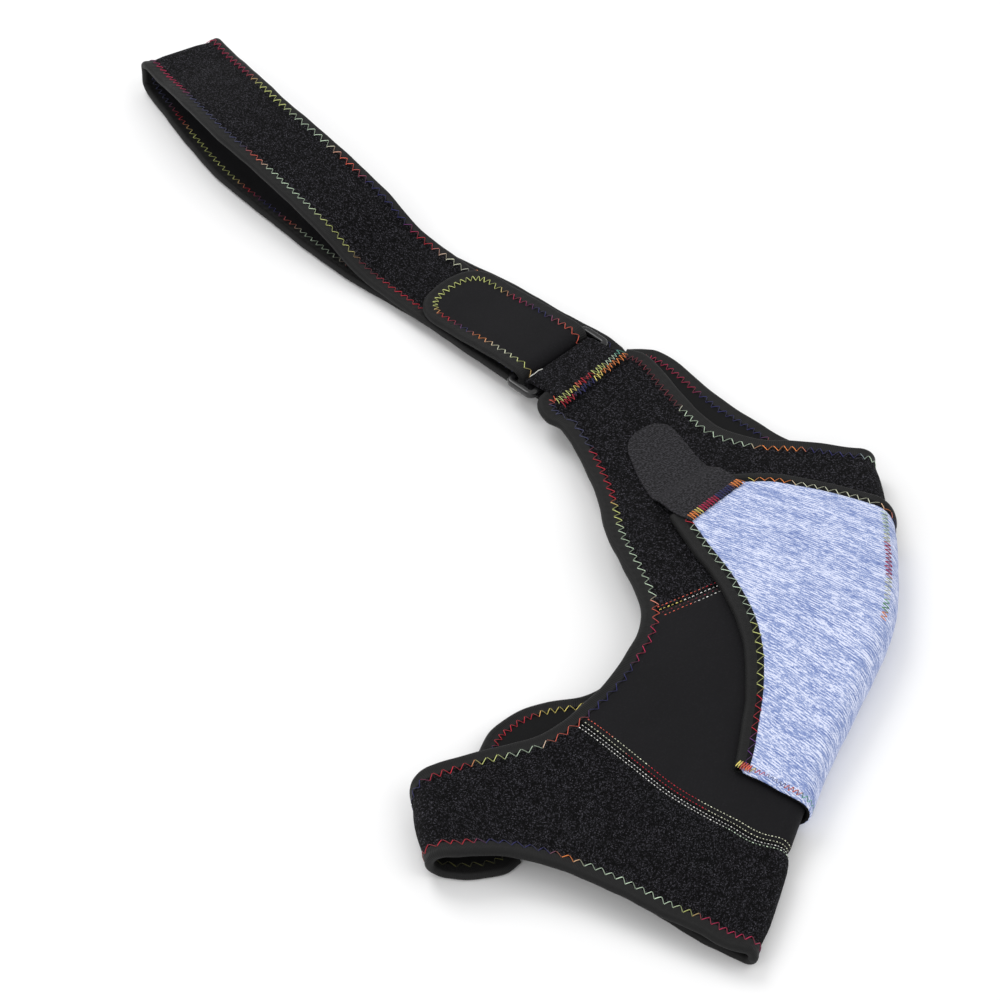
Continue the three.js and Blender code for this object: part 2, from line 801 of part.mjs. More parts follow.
function crossStrap() {
  const half = (s) => heightOf(strapInset, s);
  const last = strapLength - rimInset - fit;
  const stations = stationsFrom([strapInset], strapInset[0].x, last);
  return clothBetween(strapSheet, stations, (s) => -half(s), half, 2, 0, panelThick);
}

function strapBinding() {
  const otherSide = strapRim.map((place) => new THREE.Vector2(place.x, -place.y)).reverse();
  return bindingAlong(strapSheet, [...strapRim, strapRimEnd, ...otherSide], -1);
}

function hookPatch() {
  const clear = bindWidth + 2 * fit;
  const last = strapLength - clear - 2 * fit;
  const inner = shifted([...strapRim, strapRimEnd], -clear);
  const half = (s) => heightOf(inner, s);
  const stations = stationsFrom([strapInset, inner], strapLength - hookLength, last);
  const lift = -(panelThick / 2 + fit + hookThick / 2);
  return clothBetween(strapSheet, stations, (s) => -half(s), half, 2, lift, hookThick);
}

// Flat ring with rounded corners: the strap goes round one bar, the carrier round the other
function buckleRing() {
  const outline = (halfLong, halfShort, corner) => {
    const shape = new THREE.Shape();
    shape.absarc(halfLong - corner, halfShort - corner, corner, 0, Math.PI / 2);
    shape.absarc(corner - halfLong, halfShort - corner, corner, Math.PI / 2, Math.PI);
    shape.absarc(corner - halfLong, corner - halfShort, corner, Math.PI, 1.5 * Math.PI);
    shape.absarc(halfLong - corner, corner - halfShort, corner, 1.5 * Math.PI, 2 * Math.PI);
    return shape;
  };
  const bevel = 0.29 * ringWire;
  const cornerInside = 0.16 * ringWire;
  const innerLong = strapWidth / 2 + ringSlack;
  const innerShort = (ringBarSpacing - ringWire) / 2;
  const ring = outline(innerLong + ringWire - bevel, innerShort + ringWire - bevel, ringWire - bevel);
  ring.holes.push(outline(innerLong + bevel, innerShort + bevel, cornerInside + bevel));
  const geometry = new THREE.ExtrudeGeometry(ring, {
    depth: ringWire - 2 * bevel,
    bevelThickness: bevel,
    bevelSize: bevel,
    bevelSegments: 1,
    curveSegments: 4,
  });
  geometry.translate(0, 0, bevel - ringWire / 2);
  const { middle, side } = strapPlan(0);
  geometry.rotateZ(Math.atan2(side.y, side.x));
  geometry.translate(middle.x, middle.y, ringHeight);
  return geometry;
}

// Short strip round the ring's other bar, with the front tip held between its two ends
function ringCarrier() {
  const wrapRadius = (ringWire + panelThick) / 2 + fit;
  const tipShare = 0.4;
  const tipLevel = frontZ(tipShare, armpitFront[0].y * bodyLength);
  const legLift = panelThick + fit;
  const tipAlong = -0.42 * strapWidth;
  const endAlong = tipAlong - carrierLap;
  const slack = 0.3;
  const barLow = ringHeight - wrapRadius;
  const bends = [
    [endAlong, tipLevel - legLift],
    [tipAlong, tipLevel - legLift],
    [(tipAlong - barAlong) / 2, barLow + slack * (tipLevel - legLift - barLow)],
    [-barAlong, barLow],
  ];
  const wrapSteps = 6;
  for (let i = 1; i <= wrapSteps; i += 1) {
    const turn = Math.PI * i / wrapSteps;
    bends.push([wrapRadius * Math.sin(turn) - barAlong, ringHeight - wrapRadius * Math.cos(turn)]);
  }
  bends.push([(tipAlong - barAlong) / 2, (tipLevel + legLift + ringHeight + wrapRadius) / 2]);
  bends.push([tipAlong, tipLevel + legLift]);
  bends.push([endAlong, tipLevel + legLift]);
  const line = new THREE.CatmullRomCurve3(
    bends.map(([along, height]) => new THREE.Vector3(along, height, 0)), false, 'centripetal');
  const length = line.getLength();
  const sheet = (s, across) => {
    const place = line.getPointAt(THREE.MathUtils.clamp(s / length, 0, 1));
    const { middle, side } = strapPlan(place.x + Math.min(s, 0) - Math.max(s - length, 0));
    return middle.addScaledVector(side, across).setZ(place.y);
  };
  const steps = 28;
  const stations = Array.from({ length: steps + 1 }, (_, i) => length * i / steps);
  return clothBetween(sheet, stations, () => -carrierWidth / 2, () => carrierWidth / 2, 2, 0, panelThick);
}

// Pocket over the shoulder fold, its hidden back part ending straight
const pocketEnd = backStart + pocketBack;
const pocketHem = 0.2;
const pocketBottomLine = thinned(smoothLine([
  ...onFront(pocketBottomFront),
  ...onShoulderFold([{ turn: 0.5, y: pocketHem }]),
  new THREE.Vector2(pocketEnd + fit, pocketHem * bodyLength),
]));
const pocketLeftLine = thinned(smoothLine(onFront(pocketLeftRim)));
const pocketTopLine = thinned(smoothLine([
  ...onFront(pocketTopFront),
  ...onShoulderFold(pocketTopFold),
  ...onBack(pocketTopBack),
]));
const pocketCornerLine = onFront(pocketCorner);

function shoulderPocket() {
  const left = shifted(pocketLeftLine, rimInset);
  const top = shifted(pocketTopLine, -rimInset);
  const below = (u) => highest(heightOf(left, u), heightOf(pocketBottomLine, u));
  const above = (u) => lowest(heightOf(top, u), heightOf(shifted(pocketCornerLine, -rimInset), u));
  const first = left[0].x + rimInset;
  const stations = stationsFrom([left, top, pocketBottomLine, pocketCornerLine], first, pocketEnd);
  return clothBetween(bodySheet, stations, below, above, 6, pocketLift, panelThick);
}

function pocketSideBinding() {
  return bindingAlong(bodySheet, pocketLeftLine, 1, pocketLift);
}

function pocketTopBinding() {
  const upTo = pocketTopLine.filter((place) => place.x <= pocketEnd);
  return bindingAlong(bodySheet, upTo, -1, pocketLift);
}

function pocketHookTab() {
  const upper = thinned(smoothLine(onFront(hookTabUpper)), 8);
  const lower = thinned(smoothLine(onFront(hookTabLower)), 8);
  const first = upper[0].x + hookTabThick;
  const stations = stationsFrom([upper, lower], first, upper[upper.length - 1].x - hookTabThick);
  return clothBetween(bodySheet, stations, (u) => heightOf(lower, u), (u) => heightOf(upper, u), 3,
    hookTabLift, hookTabThick);
}

const loopCloth = () => new THREE.MeshStandardMaterial({ color: 0x17181c, roughness: 0.95, metalness: 0 });
const smoothCloth = () => new THREE.MeshStandardMaterial({ color: 0x232427, roughness: 0.8, metalness: 0 });
const bindTape = () => new THREE.MeshStandardMaterial({ color: 0x1c1c1f, roughness: 0.85, metalness: 0 });
const hookCloth = () => new THREE.MeshStandardMaterial({ color: 0x3e3c41, roughness: 0.7, metalness: 0 });
const blueKnit = () => new THREE.MeshStandardMaterial({ color: 0x8fa3c4, roughness: 0.9, metalness: 0 });
const glossPlastic = () => new THREE.MeshStandardMaterial({ color: 0x0c0c0d, roughness: 0.2, metalness: 0 });

const brace = new THREE.Group();
brace.name = 'shoulder_brace';

function add(name, geometry, material) {
  const mesh = new THREE.Mesh(geometry, material);
  mesh.name = name;
  brace.add(mesh);
}

add('yoke_loop_panel', yokePanel(), loopCloth());
add('cap_smooth_panel', capPanel(), smoothCloth());
add('arm_band', armBand(), loopCloth());
add('cross_strap', crossStrap(), loopCloth());
add('strap_binding', strapBinding(), bindTape());
add('strap_hook_patch', hookPatch(), hookCloth());
add('buckle_ring', buckleRing(), glossPlastic());
add('ring_carrier', ringCarrier(), loopCloth());
add('front_edge_binding', bindingAlong(bodySheet, edgeFrontLine, 1), bindTape());
add('neck_binding', bindingAlong(bodySheet, neckLine, -1), bindTape());
add('back_edge_binding', bindingAlong(bodySheet, edgeBackLine, -1), bindTape());
add('cuff_lower_binding', bindingAlong(bodySheet, hemLine, 1), bindTape());
add('shoulder_pocket', shoulderPocket(), blueKnit());
add('pocket_side_binding', pocketSideBinding(), bindTape());
add('pocket_top_binding', pocketTopBinding(), bindTape());
add('pocket_hook_tab', pocketHookTab(), hookCloth());

// The middle of the underside becomes the origin
const box = new THREE.Box3().setFromObject(brace);
const shift = new THREE.Vector3(-(box.min.x + box.max.x) / 2, -(box.min.y + box.max.y) / 2, -box.min.z);
brace.children.forEach((mesh) => mesh.geometry.translate(shift.x, shift.y, shift.z));

export default brace;
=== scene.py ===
import math

import bpy
import numpy as np
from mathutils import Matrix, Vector, geometry, kdtree


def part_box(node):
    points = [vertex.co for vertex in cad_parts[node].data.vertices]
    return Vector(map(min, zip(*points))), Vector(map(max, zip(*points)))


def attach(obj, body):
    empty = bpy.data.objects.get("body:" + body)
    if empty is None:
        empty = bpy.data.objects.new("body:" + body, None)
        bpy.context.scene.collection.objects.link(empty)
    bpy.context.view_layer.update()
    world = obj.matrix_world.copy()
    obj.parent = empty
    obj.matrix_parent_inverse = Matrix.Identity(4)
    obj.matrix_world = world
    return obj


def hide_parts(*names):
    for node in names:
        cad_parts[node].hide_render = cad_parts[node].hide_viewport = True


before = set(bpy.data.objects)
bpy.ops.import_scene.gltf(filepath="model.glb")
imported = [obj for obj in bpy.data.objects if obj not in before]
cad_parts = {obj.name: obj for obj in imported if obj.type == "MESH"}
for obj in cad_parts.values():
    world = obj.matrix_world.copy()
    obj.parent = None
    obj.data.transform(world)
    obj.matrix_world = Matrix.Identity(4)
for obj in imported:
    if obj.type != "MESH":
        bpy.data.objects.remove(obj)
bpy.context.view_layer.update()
print("frame loaded with", len(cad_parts), "CAD nodes")

# Lengths are millimetres in the layout of the CAD source; toFrame turns them into metres of the frame
body = {
    "width": 233.0,
    "length": 394.0,
    "thick": 2.2,
    "gap": 0.3,
    "bindWall": 1.0,
    "bindWidth": 6.5,
    "edgeClear": 0.7,
    "rise": 20.0,        # how high the shoulder cap stands over the flat front
    "ripple": 0.4,       # slow waves in the front cloth
}
strap = {
    "width": 49.0,
    "reach": 337.0,
    "lap": 58.0,
    "loopRise": 31.0,
    "endRadius": 9.5,
    "endTurn": 0.9434,   # share of half a turn, since the layers close in again past the end
    "tabReach": 86.0,
    "tabRound": 20.0,
    "roundness": 2.4,
    "heading": math.radians(129.8),
}
ring = {"wire": 3.8, "barSpacing": 16.0, "slack": 1.5, "x": 0.300, "y": 0.957}

rimHalf = body["thick"] / 2 + body["gap"] + body["bindWall"]
rimInset = body["bindWall"] + body["edgeClear"]
layerPitch = 2 * rimHalf + body["gap"]
tableLevel = rimHalf
frontLevel = rimHalf + 1.5 * layerPitch
pocketLift = body["thick"] / 2 + body["gap"] + rimHalf
ringHeight = tableLevel + layerPitch + rimHalf + body["gap"] + ring["wire"] / 2
wide, long = body["width"], body["length"]

ringLow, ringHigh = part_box("buckle_ring")
ringMiddle = np.array([ring["x"] * wide, ring["y"] * long, ringHeight])
origin = np.array((ringLow + ringHigh) / 2) * 1000 - ringMiddle


def toFrame(points):
    return (np.asarray(points, float) + origin) * 0.001


# Stretches of the folded sheet along u: tucked end, left fold, front half, shoulder fold, back half
leftFoldStart = 0.26 * wide
leftFoldSpan = 0.11 * wide
halfSpan = 0.77 * wide
shoulderFoldSpan = 0.1 * wide
frontStart = leftFoldStart + leftFoldSpan
frontEnd = frontStart + halfSpan
backStart = frontEnd + shoulderFoldSpan

# at, right, left: outer faces of both folds as shares of length and width
foldLine = [
    (-0.02, 0.622, 0.05), (0.05, 0.670, 0.05), (0.12, 0.708, 0.042), (0.15, 0.718, 0.026),
    (0.2, 0.749, 0.010), (0.25, 0.781, 0.005), (0.3, 0.818, 0.005), (0.36, 0.866, 0.01),
    (0.41, 0.905, 0.02), (0.47, 0.946, 0.03), (0.52, 0.965, 0.03), (0.57, 0.974, 0.03),
    (0.62, 0.978, 0.03), (0.7, 0.980, 0.03), (0.78, 0.968, 0.03), (1.02, 0.944, 0.03),
]
# at, left, middle, right: heights of the front half over frontLevel, shares of rise
frontHeights = [
    (0, 0.42, 0.22, 0.08), (0.15, 0.45, 0.33, 0.2), (0.3, 0.42, 0.5, 0.39), (0.45, 0.3, 0.65, 0.5),
    (0.6, 0.25, 0.5, 0.55), (0.75, 0.2, 0.22, 0.38), (0.85, 0.19, 0.19, 0.22), (1, 0.19, 0.19, 0.19),
]
# at, left, middle, right: heights of the back half over the table, shares of layerPitch
backHeights = [
    (0, 1, 0.2, 0), (0.12, 1.1, 0.4, 0.1), (0.18, 1.1, 0.85, 0.76), (0.3, 1.1, 0.8, 0.76),
    (0.45, 0.5, 0.75, 0.75), (0.65, 0.6, 0.75, 0.75), (0.76, 1, 1, 0.7), (0.86, 1, 1, 0.6), (1, 1, 1, 0.5),
]


def smoothAt(rows, column, at):
    table = np.asarray(rows, float)
    x, value = table[:, 0], table[:, column]
    slope = np.empty_like(value)
    slope[1:-1] = (value[2:] - value[:-2]) / (x[2:] - x[:-2])
    slope[0] = (value[1] - value[0]) / (x[1] - x[0])
    slope[-1] = (value[-1] - value[-2]) / (x[-1] - x[-2])
    at = np.clip(at, x[0], x[-1])
    i = np.clip(np.searchsorted(x, at) - 1, 0, len(x) - 2)
    step = x[i + 1] - x[i]
    t = (at - x[i]) / step
    a = 1 - t
    return (a * a * (1 + 2 * t) * value[i] + t * a * a * step * slope[i]
            + t * t * (3 - 2 * t) * value[i + 1] - t * t * a * step * slope[i + 1])


def acrossAt(rows, share, at):
    w = np.clip(share, 0, 1)
    return (smoothAt(rows, 1, at) * (2 * w * w - 3 * w + 1) + smoothAt(rows, 2, at) * (4 * w - 4 * w * w)
            + smoothAt(rows, 3, at) * (2 * w * w - w))


def frontZ(share, y):
    w = np.clip(share, 0, 1)
    waves = np.sin(9.1 * w + y / 31.0) + 0.7 * np.sin(y / 17.0 - 5.0 * w + 1.3)
    return frontLevel + body["rise"] * acrossAt(frontHeights, share, y / long) \
        + body["ripple"] * 4 * w * (1 - w) * waves


def backZ(share, y):
    return tableLevel + layerPitch * acrossAt(backHeights, share, y / long)


def foldsAt(y):
    right = wide * smoothAt(foldLine, 1, y / long)
    left = wide * smoothAt(foldLine, 2, y / long)
    rightRadius = (frontZ(1.0, y) - backZ(1.0, y)) / 2
    leftRadius = (frontZ(0.0, y) - tableLevel) / 2
    return right - rightRadius, left + leftRadius, rightRadius, leftRadius


def bodySheet(u, y):
    u, y = np.broadcast_arrays(np.asarray(u, float), np.asarray(y, float))
    rightX, leftX, rightRadius, leftRadius = foldsAt(y)
    turnLeft = np.pi * (u - leftFoldStart) / leftFoldSpan
    turnRight = np.pi * (u - frontEnd) / shoulderFoldSpan
    share = (u - frontStart) / halfSpan
    backShare = 1 - (u - backStart) / halfSpan
    where = [u < leftFoldStart, u < frontStart, u <= frontEnd, u < backStart]
    x = np.select(where, [
        leftX + leftFoldStart - u,
        leftX - leftRadius * np.sin(turnLeft),
        leftX + share * (rightX - leftX),
        rightX + rightRadius * np.sin(turnRight),
    ], leftX + backShare * (rightX - leftX))
    z = np.select(where, [
        np.full_like(u, tableLevel),
        tableLevel + leftRadius * (1 - np.cos(turnLeft)),
        frontZ(share, y),
        frontZ(1.0, y) - rightRadius * (1 - np.cos(turnRight)),
    ], backZ(backShare, y))
    return np.stack([x, y, z], -1)


def eased(t):
    t = np.clip(t, 0, 1)
    return t * t * (3 - 2 * t)


def normalsOf(surface, u, v, step=0.4):
    alongU = surface(u + step, v) - surface(u - step, v)
    alongV = surface(u, v + step) - surface(u, v - step)
    out = np.cross(alongU, alongV)
    return out / np.maximum(np.linalg.norm(out, axis=-1, keepdims=True), 1e-9)


def lifted(surface, places, height):
    u, v = places[..., 0], places[..., 1]
    return surface(u, v) + normalsOf(surface, u, v) * np.asarray(height)[..., None]


def runOf(line):
    return np.concatenate([[0], np.cumsum(np.linalg.norm(np.diff(line, axis=0), axis=1))])


def evenly(line, step):
    along = runOf(line)
    at = np.linspace(0, along[-1], max(2, int(math.ceil(along[-1] / step)) + 1))
    return np.column_stack([np.interp(at, along, line[:, k]) for k in range(line.shape[1])])


def cubic(p1, p2, slope1, slope2, t):
    return ((2 * p1 - 2 * p2 + slope1 + slope2) * t ** 3 + (3 * p2 - 3 * p1 - 2 * slope1 - slope2) * t ** 2
            + slope1 * t + p1)


def curveThrough(places, step=1.0):
    p = np.asarray(places, float)
    padded = np.vstack([p[:1], p, p[-1:]])
    t = np.linspace(0, 1, 25)[:-1, None]
    pieces = []
    for i in range(len(p) - 1):
        p0, p1, p2, p3 = padded[i:i + 4]
        pieces.append(cubic(p1, p2, (p2 - p0) / 2, (p3 - p1) / 2, t))
    return evenly(np.vstack(pieces + [p[-1:]]), step)


def leftOf(line):
    along = np.gradient(line, axis=0)
    along /= np.maximum(np.linalg.norm(along, axis=1, keepdims=True), 1e-9)
    return np.column_stack([-along[:, 1], along[:, 0]])


def shifted(line, distance):
    return line + leftOf(line) * distance


# Plan points (x share of width, y share of length) put on one half of the sheet; folds take (turn, y)
def onFront(rows):
    p = np.asarray(rows, float) * (wide, long)
    rightX, leftX, _, _ = foldsAt(p[:, 1])
    return np.column_stack([frontStart + (p[:, 0] - leftX) / (rightX - leftX) * halfSpan, p[:, 1]])


def onBack(rows):
    p = np.asarray(rows, float) * (wide, long)
    rightX, leftX, _, _ = foldsAt(p[:, 1])
    return np.column_stack([backStart + (1 - (p[:, 0] - leftX) / (rightX - leftX)) * halfSpan, p[:, 1]])


def onTuck(rows):
    p = np.asarray(rows, float) * (wide, long)
    return np.column_stack([leftFoldStart - (p[:, 0] - foldsAt(p[:, 1])[1]), p[:, 1]])


def onLeftFold(rows):
    return np.asarray(rows, float) * (leftFoldSpan, long) + (leftFoldStart, 0)


def onShoulderFold(rows):
    return np.asarray(rows, float) * (shoulderFoldSpan, long) + (frontEnd, 0)


rims = {
    "front": curveThrough(np.vstack([
        onFront([
            (0.268, 0.890), (0.254, 0.877), (0.255, 0.858), (0.272, 0.839), (0.298, 0.829), (0.311, 0.817),
            (0.333, 0.786), (0.356, 0.745), (0.374, 0.703), (0.392, 0.627),
            (0.419, 0.572), (0.448, 0.518), (0.456, 0.478), (0.447, 0.447), (0.427, 0.420), (0.381, 0.372),
            (0.339, 0.342), (0.289, 0.312), (0.230, 0.290), (0.129, 0.272), (0.056, 0.256),
        ]),
        onLeftFold([(0.65, 0.241), (0.25, 0.226)]),
        onTuck([(0.060, 0.226), (0.130, 0.231), (0.205, 0.235)]),
    ])),
    "hem": curveThrough(np.vstack([
        onTuck([(0.212, 0.146), (0.181, 0.130), (0.115, 0.123), (0.060, 0.126)]),
        onLeftFold([(0.25, 0.127), (0.65, 0.123)]),
        onFront([
            (0.080, 0.122), (0.172, 0.125), (0.247, 0.116), (0.322, 0.098), (0.396, 0.075), (0.469, 0.049),
            (0.541, 0.027), (0.588, 0.009),
        ]),
        onShoulderFold([(0.25, 0.002), (0.6, 0.002)]),
        onBack([
            (0.606, 0.014), (0.541, 0.038), (0.472, 0.069), (0.414, 0.100), (0.300, 0.150), (0.200, 0.193),
            (0.150, 0.220), (0.124, 0.245),
        ]),
    ])),
    "back": curveThrough(onBack([
        (0.285, 0.862), (0.335, 0.820), (0.375, 0.760), (0.405, 0.690), (0.430, 0.610), (0.460, 0.540),
        (0.470, 0.484), (0.440, 0.440), (0.410, 0.412), (0.376, 0.397), (0.331, 0.383), (0.261, 0.374),
        (0.201, 0.357), (0.152, 0.329), (0.130, 0.298), (0.121, 0.272),
    ])),
    "neck": curveThrough(np.vstack([
        onFront([
            (0.457, 0.975), (0.490, 0.967), (0.517, 0.949), (0.561, 0.901), (0.616, 0.848), (0.657, 0.822),
            (0.732, 0.802), (0.801, 0.797), (0.860, 0.791), (0.923, 0.781),
        ]),
        onShoulderFold([(0.3, 0.776), (0.7, 0.778)]),
        onBack([
            (0.930, 0.786), (0.806, 0.818), (0.740, 0.852), (0.681, 0.884), (0.629, 0.920), (0.577, 0.961),
            (0.530, 0.987), (0.496, 0.992), (0.458, 0.992),
        ]),
    ])),
    "pocketSide": curveThrough(onFront([
        (0.525, 0.640), (0.563, 0.586), (0.604, 0.535), (0.638, 0.479), (0.656, 0.419), (0.657, 0.381),
        (0.651, 0.337), (0.633, 0.272), (0.621, 0.243),
    ])),
    "pocketTop": curveThrough(np.vstack([
        onFront([(0.653, 0.721), (0.744, 0.722), (0.806, 0.713), (0.868, 0.701), (0.930, 0.685)]),
        onShoulderFold([(0.3, 0.668), (0.7, 0.655)]),
        onBack([(0.900, 0.655), (0.560, 0.655)]),
    ])),
}
seams = {
    "upper": curveThrough(np.vstack([
        onFront([(0.456, 0.474), (0.537, 0.499), (0.621, 0.527), (0.800, 0.588), (0.930, 0.628)]),
        onBack([(0.930, 0.628), (0.700, 0.560), (0.450, 0.478)]),
    ])),
    "lower": curveThrough(np.vstack([
        onFront([
            (0.305, 0.322), (0.342, 0.307), (0.442, 0.249), (0.498, 0.217), (0.554, 0.193), (0.610, 0.173),
            (0.680, 0.150),
        ]),
        onBack([(0.680, 0.152), (0.500, 0.240), (0.331, 0.383)]),
    ])),
}
pocketEnd = backStart + 50    # the flap runs on this far behind the shoulder fold
pocketHem = 0.2
pocketCorner = onFront([(0.525, 0.640), (0.533, 0.660), (0.640, 0.712), (0.653, 0.721)])
pocketBottom = curveThrough(np.vstack([
    onFront([(0.621, 0.243), (0.675, 0.226), (0.720, 0.209)]),
    onShoulderFold([(0.5, pocketHem)]),
    [(pocketEnd, pocketHem * long)],
]))

# at, sway: the strap's sway to its left as a share of its width
strapSway = [
    (-0.2, -0.13), (-0.1, -0.065), (0, 0), (0.1, 0.065), (0.27, 0.17), (0.45, 0.28), (0.6, 0.31),
    (0.75, 0.3), (1, 0),
]
# at, rise: height of the strap's upper layer over the lower one, shares of loopRise
strapArch = [
    (0, 0), (0.1, 0), (0.2, 0), (0.3, 0.01), (0.36, 0.07), (0.4, 0.2), (0.45, 0.44), (0.5, 0.57),
    (0.6, 0.72), (0.7, 0.8), (0.78, 0.78), (0.86, 0.66), (0.92, 0.52),
]
barAlong = ring["barSpacing"] / 2


def strapProfile():
    profile = []
    endMiddle = strap["reach"] - strap["endRadius"]
    for i in range(17):
        profile.append((-strap["lap"] + (endMiddle + strap["lap"]) * i / 16, tableLevel))
    for i in range(1, 11):
        turn = strap["endTurn"] * math.pi * i / 10
        profile.append((endMiddle + strap["endRadius"] * math.sin(turn),
                        tableLevel + strap["endRadius"] * (1 - math.cos(turn))))
    upperLevel = tableLevel + layerPitch
    for at, rise in reversed(strapArch):
        profile.append((max(at * strap["reach"], barAlong), upperLevel + strap["loopRise"] * rise))
    wrapRadius = ring["wire"] / 2 + body["gap"] + rimHalf
    for i in range(1, 8):
        turn = math.pi * i / 7
        profile.append((barAlong - wrapRadius * math.sin(turn), ringHeight - wrapRadius * math.cos(turn)))
    tabLevel = tableLevel + 2 * layerPitch
    drop = ringHeight + wrapRadius - tabLevel
    for share, left in [(0.3, 0.75), (0.5, 0.3), (0.65, 0.05), (0.8, 0), (1, 0)]:
        profile.append((barAlong + (strap["tabReach"] - barAlong) * share, tabLevel + drop * left))
    return np.array(profile)


def centripetal(points, each=60):
    p = np.vstack([2 * points[0] - points[1], points, 2 * points[-1] - points[-2]])
    t = np.linspace(0, 1, each, endpoint=False)[:, None]
    pieces = []
    for i in range(len(points) - 1):
        p0, p1, p2, p3 = p[i:i + 4]
        d0, d1, d2 = (math.sqrt(max(np.linalg.norm(b - a), 1e-6)) for a, b in ((p0, p1), (p1, p2), (p2, p3)))
        t1 = ((p1 - p0) / d0 - (p2 - p0) / (d0 + d1) + (p2 - p1) / d1) * d1
        t2 = ((p2 - p1) / d1 - (p3 - p1) / (d1 + d2) + (p3 - p2) / d2) * d1
        pieces.append(cubic(p1, p2, t1, t2, t))
    dense = np.vstack(pieces + [points[-1:]])
    along = runOf(dense)
    return dense, along


strapDense, strapAlong = centripetal(strapProfile())
strapLength = strapAlong[-1]


def strapPlan(along):
    heading = np.array([math.cos(strap["heading"]), math.sin(strap["heading"]), 0])
    left = np.array([-heading[1], heading[0], 0])
    sway = lambda at: strap["width"] * smoothAt(strapSway, 1, at / strap["reach"])
    lean = (sway(along + 2) - sway(along - 2)) / 4
    start = np.array([ringMiddle[0], ringMiddle[1], 0])
    middle = start + heading * along[..., None] + left * sway(along)[..., None]
    side = left - heading * lean[..., None]
    return middle, side / np.linalg.norm(side, axis=-1, keepdims=True)


def bentSheet(dense, along, settle=None):
    def sheet(s, across):
        s, across = np.broadcast_arrays(np.asarray(s, float), np.asarray(across, float))
        inside = np.clip(s, 0, along[-1])
        place = np.interp(inside, along, dense[:, 0])
        level = np.interp(inside, along, dense[:, 1])
        ahead = np.where(s > along[-1], np.sign(dense[-1, 0] - dense[-2, 0]), 1)
        middle, side = strapPlan(place + (s - inside) * ahead)
        sideways, up = settle(s, across) if settle else (0 * s, 0 * s)
        spot = middle + side * (across + sideways)[..., None]
        spot[..., 2] = level + up
        return spot
    return sheet


# along the lower layer, how far its outer rim spreads past the ring
strapSpread = [
    (0, 0), (20, 5), (35, 11), (48, 14), (57, 13), (66, 12.2), (75, 11), (85, 9.7), (104, 9), (125, 7),
    (155, 3.5), (190, 0.8), (215, 0),
]
# there its outer rim turns up and its inner rim draws in: how far, and where along it starts and ends
rimTurn = {"rise": 3.6, "from": 44, "over": 14, "backFrom": 120, "backOver": 70}
rimDraw = {"inward": 5.0, "from": 8, "over": 45, "backFrom": 115, "backOver": 90}


def between(s, reach):
    gone = eased((s - reach["backFrom"]) / reach["backOver"])
    return eased((s - reach["from"]) / reach["over"]) * (1 - gone)


def underRing(s, across):
    at, spread = np.array(strapSpread).T
    outer = np.clip(0.5 - across / strap["width"], 0, 1)
    turnedUp = rimTurn["rise"] * between(s, rimTurn) * eased(outer * 2 - 1)
    inward = rimDraw["inward"] * between(s, rimDraw)
    return -np.interp(s, at, spread) * outer - inward * (1 - outer), turnedUp


strapSheet = bentSheet(strapDense, strapAlong, underRing)


def strapRimLine():
    half = strap["width"] / 2
    straight = [(s, half) for s in np.arange(0, strapLength - strap["tabRound"], 1.0)]
    turns = np.linspace(0, math.pi / 2, 40)
    power = 2 / strap["roundness"]
    end = [(strapLength - strap["tabRound"] * (1 - math.sin(t) ** power),
            half * max(math.cos(t), 0) ** power)
           for t in turns]
    oneSide = np.array(straight + end)
    return evenly(np.vstack([oneSide, (oneSide * (1, -1))[::-1][1:]]), 1.0)


rims["strap"] = strapRimLine()
print("sheets laid out; strap length", round(float(strapLength)), "mm")


# Meshes; a unit of cloth UV is uvSpan millimetres
uvSpan = 100.0


def makePiece(name, points, faces, materials, faceMaterials=None, uv=None):
    mesh = bpy.data.meshes.new(name)
    mesh.from_pydata(toFrame(points).tolist(), [], faces)
    for material in materials:
        mesh.materials.append(material)
    if faceMaterials is not None:
        mesh.polygons.foreach_set("material_index", np.asarray(faceMaterials, np.int32))
    if uv is not None:
        layer = mesh.uv_layers.new(name="cloth")
        corners = np.empty(len(mesh.loops), np.int32)
        mesh.loops.foreach_get("vertex_index", corners)
        layer.data.foreach_set("uv", (np.asarray(uv)[corners] / uvSpan).astype(np.float32).ravel())
    mesh.polygons.foreach_set("use_smooth", np.ones(len(mesh.polygons), bool))
    mesh.update()
    piece = bpy.data.objects.new(name, mesh)
    bpy.context.scene.collection.objects.link(piece)
    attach(piece, "root")
    return piece


def treeOf(line):
    tree = kdtree.KDTree(len(line))
    for i, (u, v) in enumerate(line):
        tree.insert((u, v, 0), i)
    tree.balance()
    return tree


def distanceTo(tree, places):
    return np.array([tree.find((u, v, 0))[2] for u, v in places])


def insideOf(outline, places):
    a, b = outline, np.roll(outline, -1, axis=0)
    inside = np.zeros(len(places), bool)
    for start in range(0, len(places), 4000):
        u, v = places[start:start + 4000, 0, None], places[start:start + 4000, 1, None]
        crosses = (a[:, 1] > v) != (b[:, 1] > v)
        climb = np.where(b[:, 1] == a[:, 1], 1e-9, b[:, 1] - a[:, 1])
        at = a[:, 0] + (v - a[:, 1]) * (b[:, 0] - a[:, 0]) / climb
        inside[start:start + 4000] = (np.sum(crosses & (u < at), axis=1) % 2) == 1
    return inside


